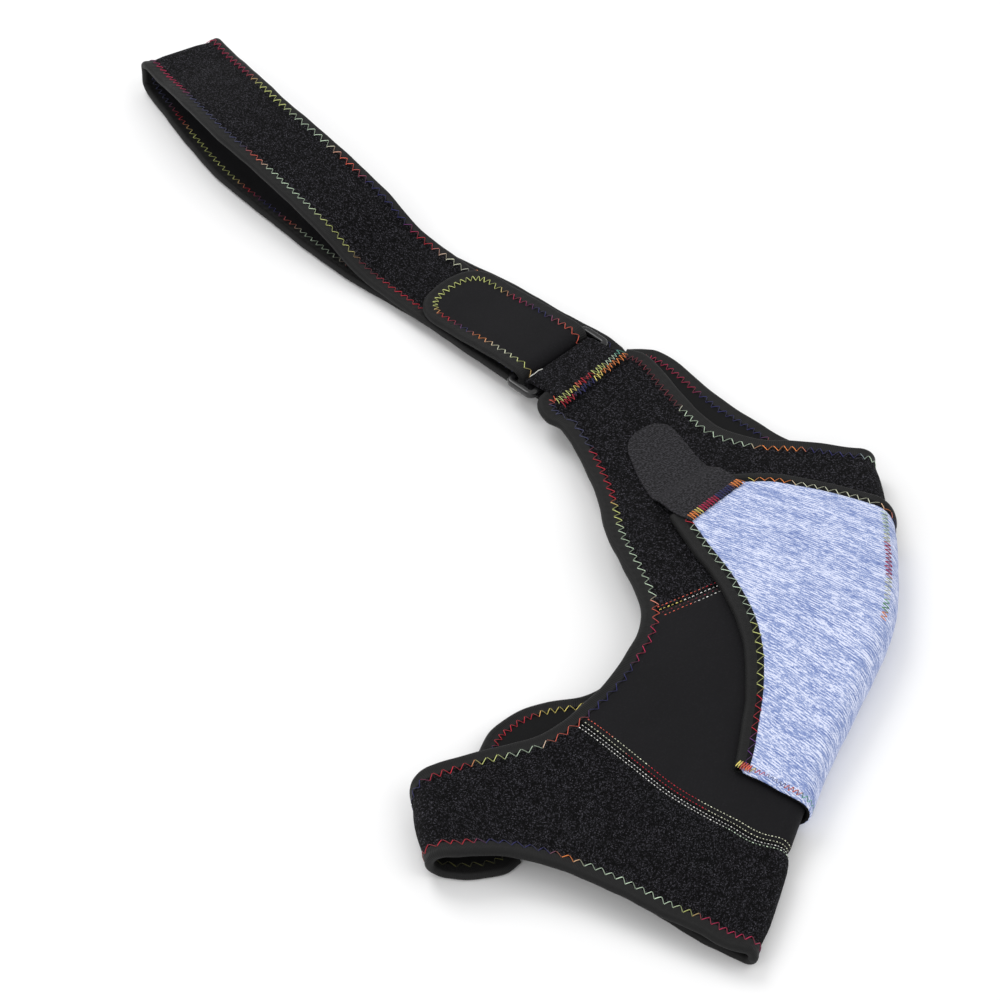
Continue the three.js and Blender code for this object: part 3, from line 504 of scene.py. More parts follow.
def reliefAt(look, places, fromRim, fromSeam):
    # height of the cloth's outer face over its middle: swollen away from rims, drawn in along seams
    puff = eased((fromRim - 7.0) / look["swellOver"]) * eased((fromSeam - 0.5) / 4.0)
    u, v = places[:, 0], places[:, 1]
    waveU = np.sin(u / 5.3 + np.sin(v / 7.9) * 1.7)
    waveV = np.sin(v / 6.1 + 0.8 * np.sin(u / 9.7))
    dimple = look.get("dimple", 0) * waveU * waveV
    groove = look.get("groove", 0) * np.exp(-(fromSeam / 1.6) ** 2)
    return look["thick"] / 2 + look["swell"] * puff - groove + dimple * puff, puff, groove


def netOf(outline, look):
    # a fine net of triangles inside the outline, with a ring of points where its rounded rim ends
    closed = np.vstack([outline, outline[:1]])
    tree = treeOf(evenly(closed, 0.7))
    low, high = outline.min(0), outline.max(0)
    step = look["net"]
    us, vs = np.arange(low[0], high[0], step), np.arange(low[1], high[1], step * 0.866)
    net = np.array([(u + (j % 2) * step / 2, v) for j, v in enumerate(vs) for u in us])
    net = net[insideOf(outline, net)]
    net = net[distanceTo(tree, net) > 0.62 * step + look["round"]]
    after = np.roll(outline, -1, axis=0)
    turnsLeft = np.sum(outline[:, 0] * after[:, 1] - after[:, 0] * outline[:, 1]) > 0
    ringIn = shifted(closed, look["round"] if turnsLeft else -look["round"])[:-1]
    ringIn = ringIn[insideOf(outline, ringIn)]
    ringIn = ringIn[distanceTo(tree, ringIn) > 0.8 * look["round"]]
    places = np.vstack([outline, ringIn, net])
    found = geometry.delaunay_2d_cdt([Vector(p) for p in places], [], [list(range(len(outline)))], 1, 1e-4)
    flat = np.array([tuple(p) for p in found[0]])
    triangles = np.array([f for f in found[2] if len(f) == 3])
    a, b, c = (flat[triangles[:, k]] for k in range(3))
    area = np.cross(b - a, c - a)
    triangles = np.where((area > 0)[:, None], triangles, triangles[:, ::-1])
    return flat, triangles, distanceTo(tree, flat), abs(float(area.sum())) / 2


def clothPiece(name, outline, surface, look, materials, rim=None, seam=None, lift=0.0):
    # cuts the outline out of the flat sheet and lays both faces of the cloth
    outline = outline[np.linalg.norm(outline - np.roll(outline, 1, axis=0), axis=1) > 0.25]
    flat, triangles, fromEdge, area = netOf(outline, look)
    farAway = np.full(len(flat), 99.0)
    fromRim = farAway if rim is None else distanceTo(treeOf(rim), flat)
    fromSeam = farAway if seam is None else distanceTo(treeOf(seam), flat)
    ends = 0.4 + 0.6 * eased(fromEdge / look["round"])
    top, puff, groove = reliefAt(look, flat, fromRim, fromSeam)
    under = look["thick"] / 2 + look["swell"] * look.get("underShare", 0.5) * puff - groove * 0.3
    base = lift(flat) if callable(lift) else lift
    outerFace = lifted(surface, flat, base + top * ends)
    points = np.vstack([outerFace, lifted(surface, flat, base - under * ends)])
    count = len(flat)
    edges = np.vstack([triangles[:, [0, 1]], triangles[:, [1, 2]], triangles[:, [2, 0]]])
    key = edges[:, 0].astype(np.int64) * count + edges[:, 1]
    back = edges[:, 1].astype(np.int64) * count + edges[:, 0]
    border = edges[~np.isin(key, back)]
    sides = np.column_stack([border[:, 1], border[:, 0], border[:, 0] + count, border[:, 1] + count])
    faces = triangles.tolist() + (triangles[:, ::-1] + count).tolist() + sides.tolist()
    outer, inner = look.get("faces", (0, 0))
    marks = [outer] * len(triangles) + [inner] * len(triangles) + [look.get("side", inner)] * len(sides)
    piece = makePiece(name, points, faces, materials, marks, np.vstack([flat, flat]))
    size = (outline.max(0) - outline.min(0)) / 1000
    cut = area / 1e6
    print(name, "net of", len(triangles), "triangles, cut", round(cut * 1e4), "cm2")
    return piece, (float(size[0]), float(size[1])), min(cut, float(size[0] * size[1]))


# Section of a bound rim from the lip over the rolled edge: across from the rim, up from the sheet's middle
tapeTop = [
    (6.5, 1.2), (6.45, 1.42), (6.1, 1.55), (5.3, 1.62), (4.3, 1.72), (3.5, 1.92), (2.8, 2.14), (2.0, 2.26),
    (1.25, 2.12), (0.65, 1.72), (0.25, 1.15), (0.03, 0.4),
]
tapeInner = [(6.2, -1.15), (1.7, -1.15), (1.2, -0.6), (1.2, 0.6), (1.7, 1.15), (6.2, 1.15)]


# A bound rim puckers between its stitches and sways a little at its edge; distances are from the rim
tapeLie = {"pucker": 0.06, "pitch": 4.6, "puckered": (2.4, 6.2), "swayed": 3, "firm": 2}


def tapePiece(name, surface, line, side, materials, lift=0.0, skirt=None, slim=None):
    # skirt says where the grey face ends and where the flat dark selvedge past it ends
    # slim narrows part of the run
    upper = tapeTop
    if skirt:
        face, end = skirt
        selvedge = [(end, 1.2), (end - 0.15, 1.42), (face + 0.3, 1.5), (face, 1.55)]
        upper = selvedge + [p for p in tapeTop if p[0] < face - 0.2]
    section = np.array(upper + [(a, -b) for a, b in reversed(upper)] + tapeInner)
    narrow = np.ones(len(line)) if slim is None else slim
    count, rows = len(section), len(line)
    left = leftOf(line) * side
    along = runOf(line)
    low, high = tapeLie["puckered"]
    puckered = (section[:, 0] > low) & (section[:, 0] < high)
    waves = 1 + tapeLie["pucker"] * np.cos(2 * np.pi * along / tapeLie["pitch"])[:, None] * puckered[None, :]
    sway = 0.12 * np.sin(along / 6.3)[:, None] + 0.08 * np.sin(along / 2.9 + 1)[:, None]
    across = section[None, :, 0] + sway * (section[:, 0] < tapeLie["swayed"])[None, :]
    firm = tapeLie["firm"]
    across = np.where(across > firm, firm + (across - firm) * narrow[:, None], across)
    places = line[:, None, :] + left[:, None, :] * across[..., None]
    up = section[None, :, 1] * waves
    points = lifted(surface, places, lift + up).reshape(-1, 3)
    i = np.arange((rows - 1) * count)
    turn = np.where(i % count == count - 1, i - count + 1, i + 1)
    faces = np.column_stack([i, i + count, turn + count, turn])
    if side > 0:
        faces = faces[:, ::-1]
    faces = faces.tolist()
    faces.append(list(range(count)))
    faces.append([(rows - 1) * count + k for k in range(count)][::-1])
    uv = np.column_stack([np.repeat(along, count), np.tile(runOf(section), rows)])
    dark = np.arange(count) < (3 if skirt else 0)
    marks = np.append(np.tile(dark, rows - 1).astype(int), [0, 0])
    return makePiece(name, points, faces, materials, marks, uv)


# Thread: tubes that dip into the cloth at both ends of every stitch
threadTones = {
    "red": (0.74, 0.10, 0.19), "magenta": (0.68, 0.10, 0.29), "coral": (0.88, 0.38, 0.30),
    "orange": (0.93, 0.54, 0.27), "yellow": (0.92, 0.85, 0.45), "lime": (0.80, 0.83, 0.50),
    "pale": (0.86, 0.87, 0.76), "white": (0.92, 0.92, 0.90), "mint": (0.76, 0.84, 0.74),
    "teal": (0.36, 0.62, 0.54), "olive": (0.30, 0.30, 0.15), "navy": (0.15, 0.15, 0.38),
    "slate": (0.24, 0.25, 0.38), "purple": (0.36, 0.16, 0.46), "wine": (0.42, 0.10, 0.17),
    "green": (0.35, 0.66, 0.42),
}
random = np.random.default_rng(7)
# lit and shaded scale the colour of every other leg or dot: painted light and painted shade on the thread
threadLook = {"blend": 0.008, "lit": 1.15, "shaded": 0.5, "uneven": (0.7, 1.2), "radius": 0.19,
              "unruly": 0.22}
dotLook = {"pitch": 2.0, "length": 0.85, "first": 9.0, "unruly": 0.08, "radius": 0.18, "bright": 1.3}
# one stitch and one dot: share along it, height over what it lies on
stitchBow = [(0.0, -0.45), (0.12, 0.14), (0.5, 0.24), (0.88, 0.14), (1.0, -0.45)]
dotBow = [(0.0, -0.3), (0.22, 0.1), (0.78, 0.1), (1.0, -0.3)]
# height of what the needle lies on, by distance from the rim
rimTop = np.array([
    (2.0, 2.26), (2.8, 2.14), (3.5, 1.92), (4.3, 1.72), (5.3, 1.62), (6.1, 1.55), (6.5, 1.4), (7.2, 1.15),
    (9, 1.15),
])


def tonesAt(tones, share):
    # each tone lasts up to its share of the row and runs softly into the next
    at, colours = [], []
    start = 0.0
    for until, tone in tones:
        blend = min(threadLook["blend"], (until - start) / 3)
        at += [start + blend, until - blend]
        colours += [np.array(threadTones[tone]) ** 2.2] * 2
        start = until
    colours = np.array(colours)
    lit = np.column_stack([np.interp(share, at, colours[:, k]) for k in range(3)])
    # every other leg of a row, and every other dot, is painted brighter or darker: painted light and painted
    # shade, not a dye change
    turned = np.where(np.arange(len(share)) % 2 == 0, threadLook["lit"], threadLook["shaded"])
    turned = turned * random.uniform(*threadLook["uneven"], len(share))
    return lit * turned[:, None]


def alongLine(line, s):
    along = runOf(line)
    left = leftOf(line)
    place = np.column_stack([np.interp(s, along, line[:, k]) for k in range(2)])
    turned = np.column_stack([np.interp(s, along, left[:, k]) for k in range(2)])
    return place, turned / np.maximum(np.linalg.norm(turned, axis=1, keepdims=True), 1e-9)


def tubesAlong(surface, places, heights, colours, radius, sides=5):
    u, v = places[..., 0], places[..., 1]
    out = normalsOf(surface, u, v)
    paths = surface(u, v) + out * heights[..., None]
    along = np.gradient(paths, axis=1)
    along /= np.maximum(np.linalg.norm(along, axis=-1, keepdims=True), 1e-9)
    across = np.cross(along, out)
    across /= np.maximum(np.linalg.norm(across, axis=-1, keepdims=True), 1e-9)
    up = np.cross(across, along)
    turn = 2 * np.pi * np.arange(sides) / sides
    circle = across[..., None, :] * np.cos(turn)[:, None] + up[..., None, :] * np.sin(turn)[:, None]
    points = paths[..., None, :] + radius * circle
    legs, steps = paths.shape[:2]
    starts = np.arange(legs)[:, None, None] * steps * sides + np.arange(steps - 1)[:, None] * sides
    base = starts + np.arange(sides)
    following = starts + (np.arange(sides) + 1) % sides
    faces = np.stack([base, following, following + sides, base + sides], -1).reshape(-1, 4)
    return points.reshape(-1, 3), faces, np.repeat(colours, steps * sides, axis=0)


def zigzag(surface, line, side, tones, reach, pitch, face=1, lift=0.0, span=(0.0, 1.0), level=None,
           radius=threadLook["radius"], unruly=threadLook["unruly"]):
    first, last = np.array(span) * runOf(line)[-1]
    count = max(2, int((last - first) / (pitch / 2)))
    s = np.linspace(first, last, count + 1)
    s[1:-1] += random.uniform(-unruly, unruly, count - 1) * pitch / tapeLie["pitch"]
    d = np.where(np.arange(count + 1) % 2 == 0, reach[0], reach[1])
    d = d + random.uniform(-unruly, unruly, count + 1)
    place, left = alongLine(line, s)
    knots = place + left * side * d[:, None]
    t, bow = np.array(stitchBow).T
    places = knots[:-1, None] * (1 - t)[None, :, None] + knots[1:, None] * t[None, :, None]
    depth = d[:-1, None] * (1 - t) + d[1:, None] * t
    under = np.interp(depth, rimTop[:, 0], rimTop[:, 1]) if level is None else np.full(depth.shape, level)
    heights = face * (under + bow)
    share = np.linspace(span[0], span[1], count)
    return tubesAlong(surface, places, lift + heights, tonesAt(tones, share), radius)


def dotRow(line, offset, tones):
    # a row of dots on the body's seams
    s = np.arange(dotLook["first"], runOf(line)[-1] - dotLook["length"], dotLook["pitch"])
    s = s + random.uniform(-dotLook["unruly"], dotLook["unruly"], len(s))
    t, bow = np.array(dotBow).T
    place, left = alongLine(line, (s[:, None] + t[None, :] * dotLook["length"]).ravel())
    places = place + left * offset
    level = reliefAt(bodyLook, places, distanceTo(edgeTree, places), distanceTo(seamTree, places))[0]
    heights = level.reshape(len(s), len(t)) + bow
    colours = dotLook["bright"] * tonesAt(tones, (s - s[0]) / (s[-1] - s[0]))
    return tubesAlong(bodySheet, places.reshape(len(s), len(t), 2), heights, colours, dotLook["radius"])


def threadPiece(name, rows, material):
    points, faces, colours, start = [], [], [], 0
    for rowPoints, rowFaces, rowColours in rows:
        points.append(rowPoints)
        faces.append(rowFaces + start)
        colours.append(rowColours)
        start += len(rowPoints)
    faces = np.vstack(faces)
    piece = makePiece(name, np.vstack(points), faces.tolist(), [material])
    tones = piece.data.color_attributes.new(name="threadTone", type="FLOAT_COLOR", domain="POINT")
    rgba = np.column_stack([np.vstack(colours), np.ones(start)])
    tones.data.foreach_set("color", rgba.astype(np.float32).ravel())
    print(name, len(faces), "quads")
    return piece


# Shader node groups that several finishes share
def addNode(tree, kind, inputs=None, **settings):
    made = tree.nodes.new("ShaderNode" + kind)
    for key, value in settings.items():
        setattr(made, key, value)
    for key, value in (inputs or {}).items():
        if isinstance(value, bpy.types.NodeSocket):
            tree.links.new(value, made.inputs[key])
        else:
            made.inputs[key].default_value = value
    return made


def newGroup(name, ins, outs):
    group = bpy.data.node_groups.new(name, "ShaderNodeTree")
    for socketName, kind, value in ins:
        socket = group.interface.new_socket(name=socketName, in_out="INPUT", socket_type="NodeSocket" + kind)
        if value is not None:
            socket.default_value = value
    for socketName, kind in outs:
        group.interface.new_socket(name=socketName, in_out="OUTPUT", socket_type="NodeSocket" + kind)
    return group, group.nodes.new("NodeGroupInput"), group.nodes.new("NodeGroupOutput")


def useGroup(tree, group, **inputs):
    made = tree.nodes.new("ShaderNodeGroup")
    made.node_tree = group
    for key, value in inputs.items():
        if isinstance(value, bpy.types.NodeSocket):
            tree.links.new(value, made.inputs[key])
        else:
            made.inputs[key].default_value = value
    return made


def mathNode(tree, operation, a, b=None, clamp=False):
    inputs = {0: a} if b is None else {0: a, 1: b}
    return addNode(tree, "Math", inputs, operation=operation, use_clamp=clamp).outputs[0]


def noiseNode(tree, vector, scale, detail=2.0, roughness=0.5, distortion=0.0):
    inputs = {"Vector": vector, "Scale": scale, "Detail": detail, "Roughness": roughness,
              "Distortion": distortion}
    return addNode(tree, "TexNoise", inputs).outputs["Fac"]


def cellNode(tree, vector, scale, **settings):
    inputs = {"Vector": vector, "Scale": scale, "Randomness": 1.0}
    return addNode(tree, "TexVoronoi", inputs, **settings).outputs["Distance"]


def rangeNode(tree, value, low, high, toLow=0.0, toHigh=1.0):
    inputs = {"Value": value, "From Min": low, "From Max": high, "To Min": toLow, "To Max": toHigh}
    return addNode(tree, "MapRange", inputs).outputs["Result"]


def summed(tree, parts):
    # values weighed and added up
    total = None
    for value, weight in parts:
        weighed = value if weight == 1 else mathNode(tree, "MULTIPLY", value, weight)
        total = weighed if total is None else mathNode(tree, "ADD", total, weighed)
    return total


def makeGrain():
    # curled nap: clumps and single loops
    group, given, result = newGroup("napGrain", [("Vector", "Vector", None), ("Grain", "Float", 0.9)],
                                    [("Mask", "Float"), ("Height", "Float")])
    vector = given.outputs["Vector"]
    scale = mathNode(group, "DIVIDE", uvSpan, given.outputs["Grain"])
    curls = cellNode(group, vector, scale, feature="SMOOTH_F1")
    fine = noiseNode(group, vector, mathNode(group, "MULTIPLY", scale, 1.7), 3.0, 0.65)
    clump = noiseNode(group, vector, mathNode(group, "MULTIPLY", scale, 0.22))
    lump = summed(group, [(fine, 1), (curls, -0.35), (clump, 0.1)])
    group.links.new(rangeNode(group, lump, 0.42, 0.66), result.inputs["Mask"])
    group.links.new(lump, result.inputs["Height"])
    return group


def makeMottle():
    # slow uneven dye and handling marks
    group, given, result = newGroup(
        "slowMottle", [("Vector", "Vector", None), ("Size", "Float", 18.0), ("Amount", "Float", 0.2)],
        [("Value", "Float")])
    scale = mathNode(group, "DIVIDE", uvSpan, given.outputs["Size"])
    cloud = noiseNode(group, given.outputs["Vector"], scale, 4.0, 0.6)
    shift = mathNode(group, "MULTIPLY", mathNode(group, "SUBTRACT", cloud, 0.5), given.outputs["Amount"])
    value = mathNode(group, "ADD", mathNode(group, "MULTIPLY", shift, 2.0), 1.0)
    group.links.new(value, result.inputs["Value"])
    return group


def makeRibs():
    # rows of knit or woven ribs at a pitch, turned by an angle
    group, given, result = newGroup(
        "clothRibs", [("Vector", "Vector", None), ("Pitch", "Float", 0.9), ("Turn", "Float", 0.0),
                      ("Waver", "Float", 0.4)], [("Height", "Float")])
    vector = given.outputs["Vector"]
    turned = addNode(group, "VectorRotate", {"Vector": vector, "Angle": given.outputs["Turn"]},
                     rotation_type="Z_AXIS")
    apart = addNode(group, "SeparateXYZ", {"Vector": turned.outputs["Vector"]})
    wander = noiseNode(group, vector, 30.0)
    offset = mathNode(group, "MULTIPLY", mathNode(group, "SUBTRACT", wander, 0.5), given.outputs["Waver"])
    pitch = mathNode(group, "DIVIDE", given.outputs["Pitch"], uvSpan)
    phase = mathNode(group, "ADD", mathNode(group, "DIVIDE", apart.outputs["X"], pitch), offset)
    wave = mathNode(group, "SINE", mathNode(group, "MULTIPLY", phase, 2 * math.pi))
    height = mathNode(group, "ADD", mathNode(group, "MULTIPLY", wave, 0.5), 0.5)
    group.links.new(height, result.inputs["Height"])
    return group


def makeLint():
    # a few pale specks and fibres caught in the cloth
    group, given, result = newGroup(
        "lintSpecks", [("Vector", "Vector", None), ("Spacing", "Float", 2.5), ("Speck", "Float", 0.16)],
        [("Mask", "Float")])
    vector = given.outputs["Vector"]
    scale = mathNode(group, "DIVIDE", uvSpan, given.outputs["Spacing"])
    reach = mathNode(group, "DIVIDE", cellNode(group, vector, scale), given.outputs["Speck"])
    close = mathNode(group, "SUBTRACT", 1.0, reach, clamp=True)
    pick = noiseNode(group, vector, mathNode(group, "MULTIPLY", scale, 0.5))
    some = mathNode(group, "GREATER_THAN", pick, 0.6)
    group.links.new(mathNode(group, "MULTIPLY", close, some), result.inputs["Mask"])
    return group


napGrain, slowMottle, clothRibs, lintSpecks = makeGrain(), makeMottle(), makeRibs(), makeLint()


def newMaterial(name, roughness, sheen=0.0, sheenRoughness=0.5, specular=0.5):
    material = bpy.data.materials.new(name)
    material.use_nodes = True
    tree = material.node_tree
    tree.nodes.clear()
    out = tree.nodes.new("ShaderNodeOutputMaterial")
    shader = tree.nodes.new("ShaderNodeBsdfPrincipled")
    shader.inputs["Roughness"].default_value = roughness
    shader.inputs["Sheen Weight"].default_value = sheen
    shader.inputs["Sheen Roughness"].default_value = sheenRoughness
    shader.inputs["Specular IOR Level"].default_value = specular
    tree.links.new(shader.outputs["BSDF"], out.inputs["Surface"])
    uv = tree.nodes.new("ShaderNodeTexCoord").outputs["UV"]
    return material, tree, shader, uv


def bumped(tree, shader, height, distance, strength=1.0):
    bump = addNode(tree, "Bump", {"Height": height, "Distance": distance * 0.001, "Strength": strength})
    tree.links.new(bump.outputs["Normal"], shader.inputs["Normal"])


def mixed(tree, factor, a, b):
    return addNode(tree, "Mix", {0: factor, 6: a, 7: b}, data_type="RGBA").outputs[2]


def scaledColour(tree, colour, value):
    inputs = {0: 1.0, 6: colour, 7: value}
    return addNode(tree, "Mix", inputs, data_type="RGBA", blend_type="MULTIPLY").outputs[2]


loopLook = {"dark": (0.0010, 0.0010, 0.0013, 1), "curl": (0.086, 0.083, 0.100, 1),
            "lint": (0.15, 0.15, 0.18, 1), "grain": 1.0}


def makeLoopPile():
    material, tree, shader, uv = newMaterial("loopPile", 0.95, sheen=0.015, sheenRoughness=0.4, specular=0.1)
    grain = useGroup(tree, napGrain, Vector=uv, Grain=loopLook["grain"])
    mottle = useGroup(tree, slowMottle, Vector=uv, Size=14.0, Amount=0.3)
    lint = useGroup(tree, lintSpecks, Vector=uv, Spacing=3.1, Speck=0.13)
    colour = mixed(tree, grain.outputs["Mask"], loopLook["dark"], loopLook["curl"])
    colour = scaledColour(tree, colour, mottle.outputs["Value"])
    colour = mixed(tree, mathNode(tree, "MULTIPLY", lint.outputs["Mask"], 0.5), colour, loopLook["lint"])
    tree.links.new(colour, shader.inputs["Base Color"])
    bumped(tree, shader, grain.outputs["Height"], 0.9)
    return material


smoothLook = {"base": (0.0040, 0.0038, 0.0048, 1), "pale": (0.0105, 0.0101, 0.0120, 1),
              "lint": (0.08, 0.08, 0.10, 1)}
liningLook = {"base": (0.0032, 0.0032, 0.0036, 1), "pale": (0.0060, 0.0060, 0.0066, 1),
              "lint": (0.03, 0.03, 0.04, 1)}


def makeSmoothCloth(name, look):
    material, tree, shader, uv = newMaterial(name, 0.75, sheen=0.012, sheenRoughness=0.45, specular=0.15)
    rows = useGroup(tree, clothRibs, Vector=uv, Pitch=0.55, Turn=0.35, Waver=0.5)
    grain = useGroup(tree, napGrain, Vector=uv, Grain=1.3)
    mottle = useGroup(tree, slowMottle, Vector=uv, Size=26.0, Amount=0.22)
    lint = useGroup(tree, lintSpecks, Vector=uv, Spacing=6.0, Speck=0.06)
    weave = summed(tree, [(rows.outputs["Height"], 0.4), (grain.outputs["Mask"], 0.6)])
    colour = mixed(tree, weave, look["base"], look["pale"])
    colour = scaledColour(tree, colour, mottle.outputs["Value"])
    colour = mixed(tree, mathNode(tree, "MULTIPLY", lint.outputs["Mask"], 0.4), colour, look["lint"])
    tree.links.new(colour, shader.inputs["Base Color"])
    bumped(tree, shader, rows.outputs["Height"], 0.05)
    return material


tapeLook = {"base": (0.0066, 0.0066, 0.0067, 1), "pale": (0.0128, 0.0127, 0.0130, 1), "pitch": 0.85}


def makeBindingTape():
    material, tree, shader, uv = newMaterial(
        "bindingTape", 0.62, sheen=0.02, sheenRoughness=0.35, specular=0.2)
    ribs = useGroup(tree, clothRibs, Vector=uv, Pitch=tapeLook["pitch"], Turn=0.0, Waver=0.25)
    grain = useGroup(tree, napGrain, Vector=uv, Grain=1.1)
    mottle = useGroup(tree, slowMottle, Vector=uv, Size=9.0, Amount=0.3)
    weave = summed(tree, [(ribs.outputs["Height"], 0.5), (grain.outputs["Mask"], 0.5)])
    colour = mixed(tree, weave, tapeLook["base"], tapeLook["pale"])
    colour = scaledColour(tree, colour, mottle.outputs["Value"])
    tree.links.new(colour, shader.inputs["Base Color"])
    bumped(tree, shader, ribs.outputs["Height"], 0.12)
    return material


hookLook = {"base": (0.0015, 0.0014, 0.0020, 1), "tips": (0.054, 0.052, 0.060, 1), "pitch": 1.0}


def makeHookCloth():
    material, tree, shader, uv = newMaterial("hookCloth", 0.75, specular=0.2)
    one = useGroup(tree, clothRibs, Vector=uv, Pitch=hookLook["pitch"], Turn=0.78, Waver=0.15)
    other = useGroup(tree, clothRibs, Vector=uv, Pitch=hookLook["pitch"], Turn=-0.78, Waver=0.15)
    grid = mathNode(tree, "MULTIPLY", one.outputs["Height"], other.outputs["Height"])
    sparkle = rangeNode(tree, noiseNode(tree, uv, 95.0, 3.0, 0.7), 0.44, 0.60)
    mottle = useGroup(tree, slowMottle, Vector=uv, Size=12.0, Amount=0.12)
    speckle = summed(tree, [(grid, 0.3), (sparkle, 0.6)])
    colour = mixed(tree, speckle, hookLook["base"], hookLook["tips"])
    colour = scaledColour(tree, colour, mottle.outputs["Value"])
    tree.links.new(colour, shader.inputs["Base Color"])
    bumped(tree, shader, speckle, 0.18)
    return material


knitLook = {"white": (0.72, 0.76, 0.93, 1), "blue": (0.24, 0.31, 0.56, 1), "deep": (0.11, 0.16, 0.40, 1),
            "slant": 0.58}


def makeBlueKnit():
    # melange yarn: streaks run across the flap at a slant, over knitted courses and wales
    material, tree, shader, uv = newMaterial("blueKnit", 0.88, sheen=0.12, sheenRoughness=0.5, specular=0.2)
    slant = knitLook["slant"]
    turned = addNode(tree, "VectorRotate", {"Vector": uv, "Angle": slant}, rotation_type="Z_AXIS")
    stretched = addNode(tree, "Mapping", {"Vector": turned.outputs["Vector"], "Scale": (0.17, 1.0, 1.0)})
    streak = noiseNode(tree, stretched.outputs["Vector"], 135.0, 4.0, 0.7, 0.4)
    patch = noiseNode(tree, stretched.outputs["Vector"], 22.0, 3.0, 0.6)
    grain = noiseNode(tree, uv, 150.0, 3.0, 0.75)
    courses = useGroup(tree, clothRibs, Vector=uv, Pitch=1.15, Turn=math.pi / 2 + slant, Waver=0.9)
    wales = useGroup(tree, clothRibs, Vector=uv, Pitch=0.9, Turn=slant, Waver=0.7)
    courses, wales = courses.outputs["Height"], wales.outputs["Height"]
    lean = summed(tree, [(streak, 0.95), (patch, 0.35), (grain, 0.5), (courses, -0.10)])
    colour = mixed(tree, rangeNode(tree, lean, 0.76, 0.88), knitLook["white"], knitLook["blue"])
    colour = mixed(tree, rangeNode(tree, lean, 0.93, 1.04), colour, knitLook["deep"])
    tree.links.new(colour, shader.inputs["Base Color"])
    bumped(tree, shader, summed(tree, [(courses, 0.6), (wales, 0.3), (grain, 0.5)]), 0.16)
    return material


def makeThread():
    material, tree, shader, _ = newMaterial("varnishedThread", 0.5, sheen=0.1, specular=0.4)
    tone = addNode(tree, "VertexColor", layer_name="threadTone")
    place = addNode(tree, "TexCoord").outputs["Object"]
    twist = noiseNode(tree, place, 2600.0, 1.0)
    value = rangeNode(tree, twist, 0.3, 0.7, 0.72, 1.1)
    tree.links.new(scaledColour(tree, tone.outputs["Color"], value), shader.inputs["Base Color"])
    bumped(tree, shader, twist, 0.08)
    return material


def makeGlossPlastic():
    material, tree, shader, _ = newMaterial("glossPlastic", 0.2, specular=0.5)
    place = addNode(tree, "TexCoord").outputs["Object"]
    scuff = noiseNode(tree, place, 420.0, 4.0, 0.7)
    tree.links.new(rangeNode(tree, scuff, 0.3, 0.7, 0.14, 0.3), shader.inputs["Roughness"])
    tint = mixed(tree, scuff, (0.004, 0.004, 0.0045, 1), (0.010, 0.010, 0.011, 1))
    tree.links.new(tint, shader.inputs["Base Color"])
    bumped(tree, shader, scuff, 0.02)
    return material


def makeTableTop():
    material, tree, shader, _ = newMaterial("whiteTable", 0.9, specular=0.1)
    place = addNode(tree, "TexCoord").outputs["Object"]
    cloud = noiseNode(tree, place, 3.0, 3.0)
    tone = mixed(tree, cloud, (0.90, 0.90, 0.905, 1), (0.92, 0.92, 0.92, 1))
    tree.links.new(tone, shader.inputs["Base Color"])
    return material


loopPile = makeLoopPile()
smoothCloth = makeSmoothCloth("smoothCloth", smoothLook)
lining = makeSmoothCloth("lining", liningLook)
bindingTape = makeBindingTape()
hookCloth = makeHookCloth()
blueKnit = makeBlueKnit()
threadMaterial = makeThread()
glossPlastic = makeGlossPlastic()
tableTop = makeTableTop()
print("finishes made")


# Outlines of the cloth pieces, each a closed run of places on its flat sheet
def meeting(a, b):
    tree = treeOf(b)
    found = [tree.find((u, v, 0)) for u, v in a]
    i = min(range(len(a)), key=lambda k: found[k][2])
    return i, found[i][1]


frontInset = shifted(rims["front"], rimInset)
backInset = shifted(rims["back"], -rimInset)
neckInset = shifted(rims["neck"], -rimInset)
hemInset = shifted(rims["hem"], rimInset)
upperAbove, upperBelow = shifted(seams["upper"], 0.15), shifted(seams["upper"], -0.15)
lowerAbove, lowerBelow = shifted(seams["lower"], 0.15), shifted(seams["lower"], -0.15)


def walk(line, first, last):
    return line[first:last + 1] if first <= last else line[last:first + 1][::-1]


frontAtUpper, upperAtFront = meeting(frontInset, upperAbove)
frontAtLower, lowerAtFront = meeting(frontInset, lowerBelow)
backAtUpper, upperAtBack = meeting(backInset, upperAbove)
backAtLower, lowerAtBack = meeting(backInset, lowerBelow)
lastBack = len(backInset) - 1

yokeOutline = np.vstack([
    walk(frontInset, 0, frontAtUpper), walk(upperAbove, upperAtFront, upperAtBack),
    walk(backInset, backAtUpper, 0), neckInset[::-1],
])
capOutline = np.vstack([
    walk(lowerAbove, lowerAtFront, lowerAtBack), walk(backInset, backAtLower, backAtUpper),
    walk(upperBelow, upperAtBack, upperAtFront), walk(frontInset, frontAtUpper, frontAtLower),
])
armOutline = np.vstack([
    hemInset, walk(backInset, lastBack, backAtLower), walk(lowerBelow, lowerAtBack, lowerAtFront),
    walk(frontInset, frontAtLower, len(frontInset) - 1),
])
pocketLeft = shifted(rims["pocketSide"], rimInset)
pocketTop = shifted(rims["pocketTop"], -rimInset)
pocketTop = pocketTop[pocketTop[:, 0] < pocketEnd]
pocketFloor = pocketBottom[pocketBottom[:, 0] < pocketEnd]
pocketCut = evenly(shifted(pocketCorner, -(rimInset + 3)), 1.0)
floorFrom = 6    # the first millimetres of the floor lie under the side's bound rim
farSide = evenly(np.array([pocketFloor[-1], pocketTop[-1]]), 1.0)[1:-1]
pocketOutline = np.vstack([
    pocketLeft[4:-3], pocketFloor[floorFrom:], farSide, pocketTop[4:][::-1], pocketCut[::-1][3:-3],
])

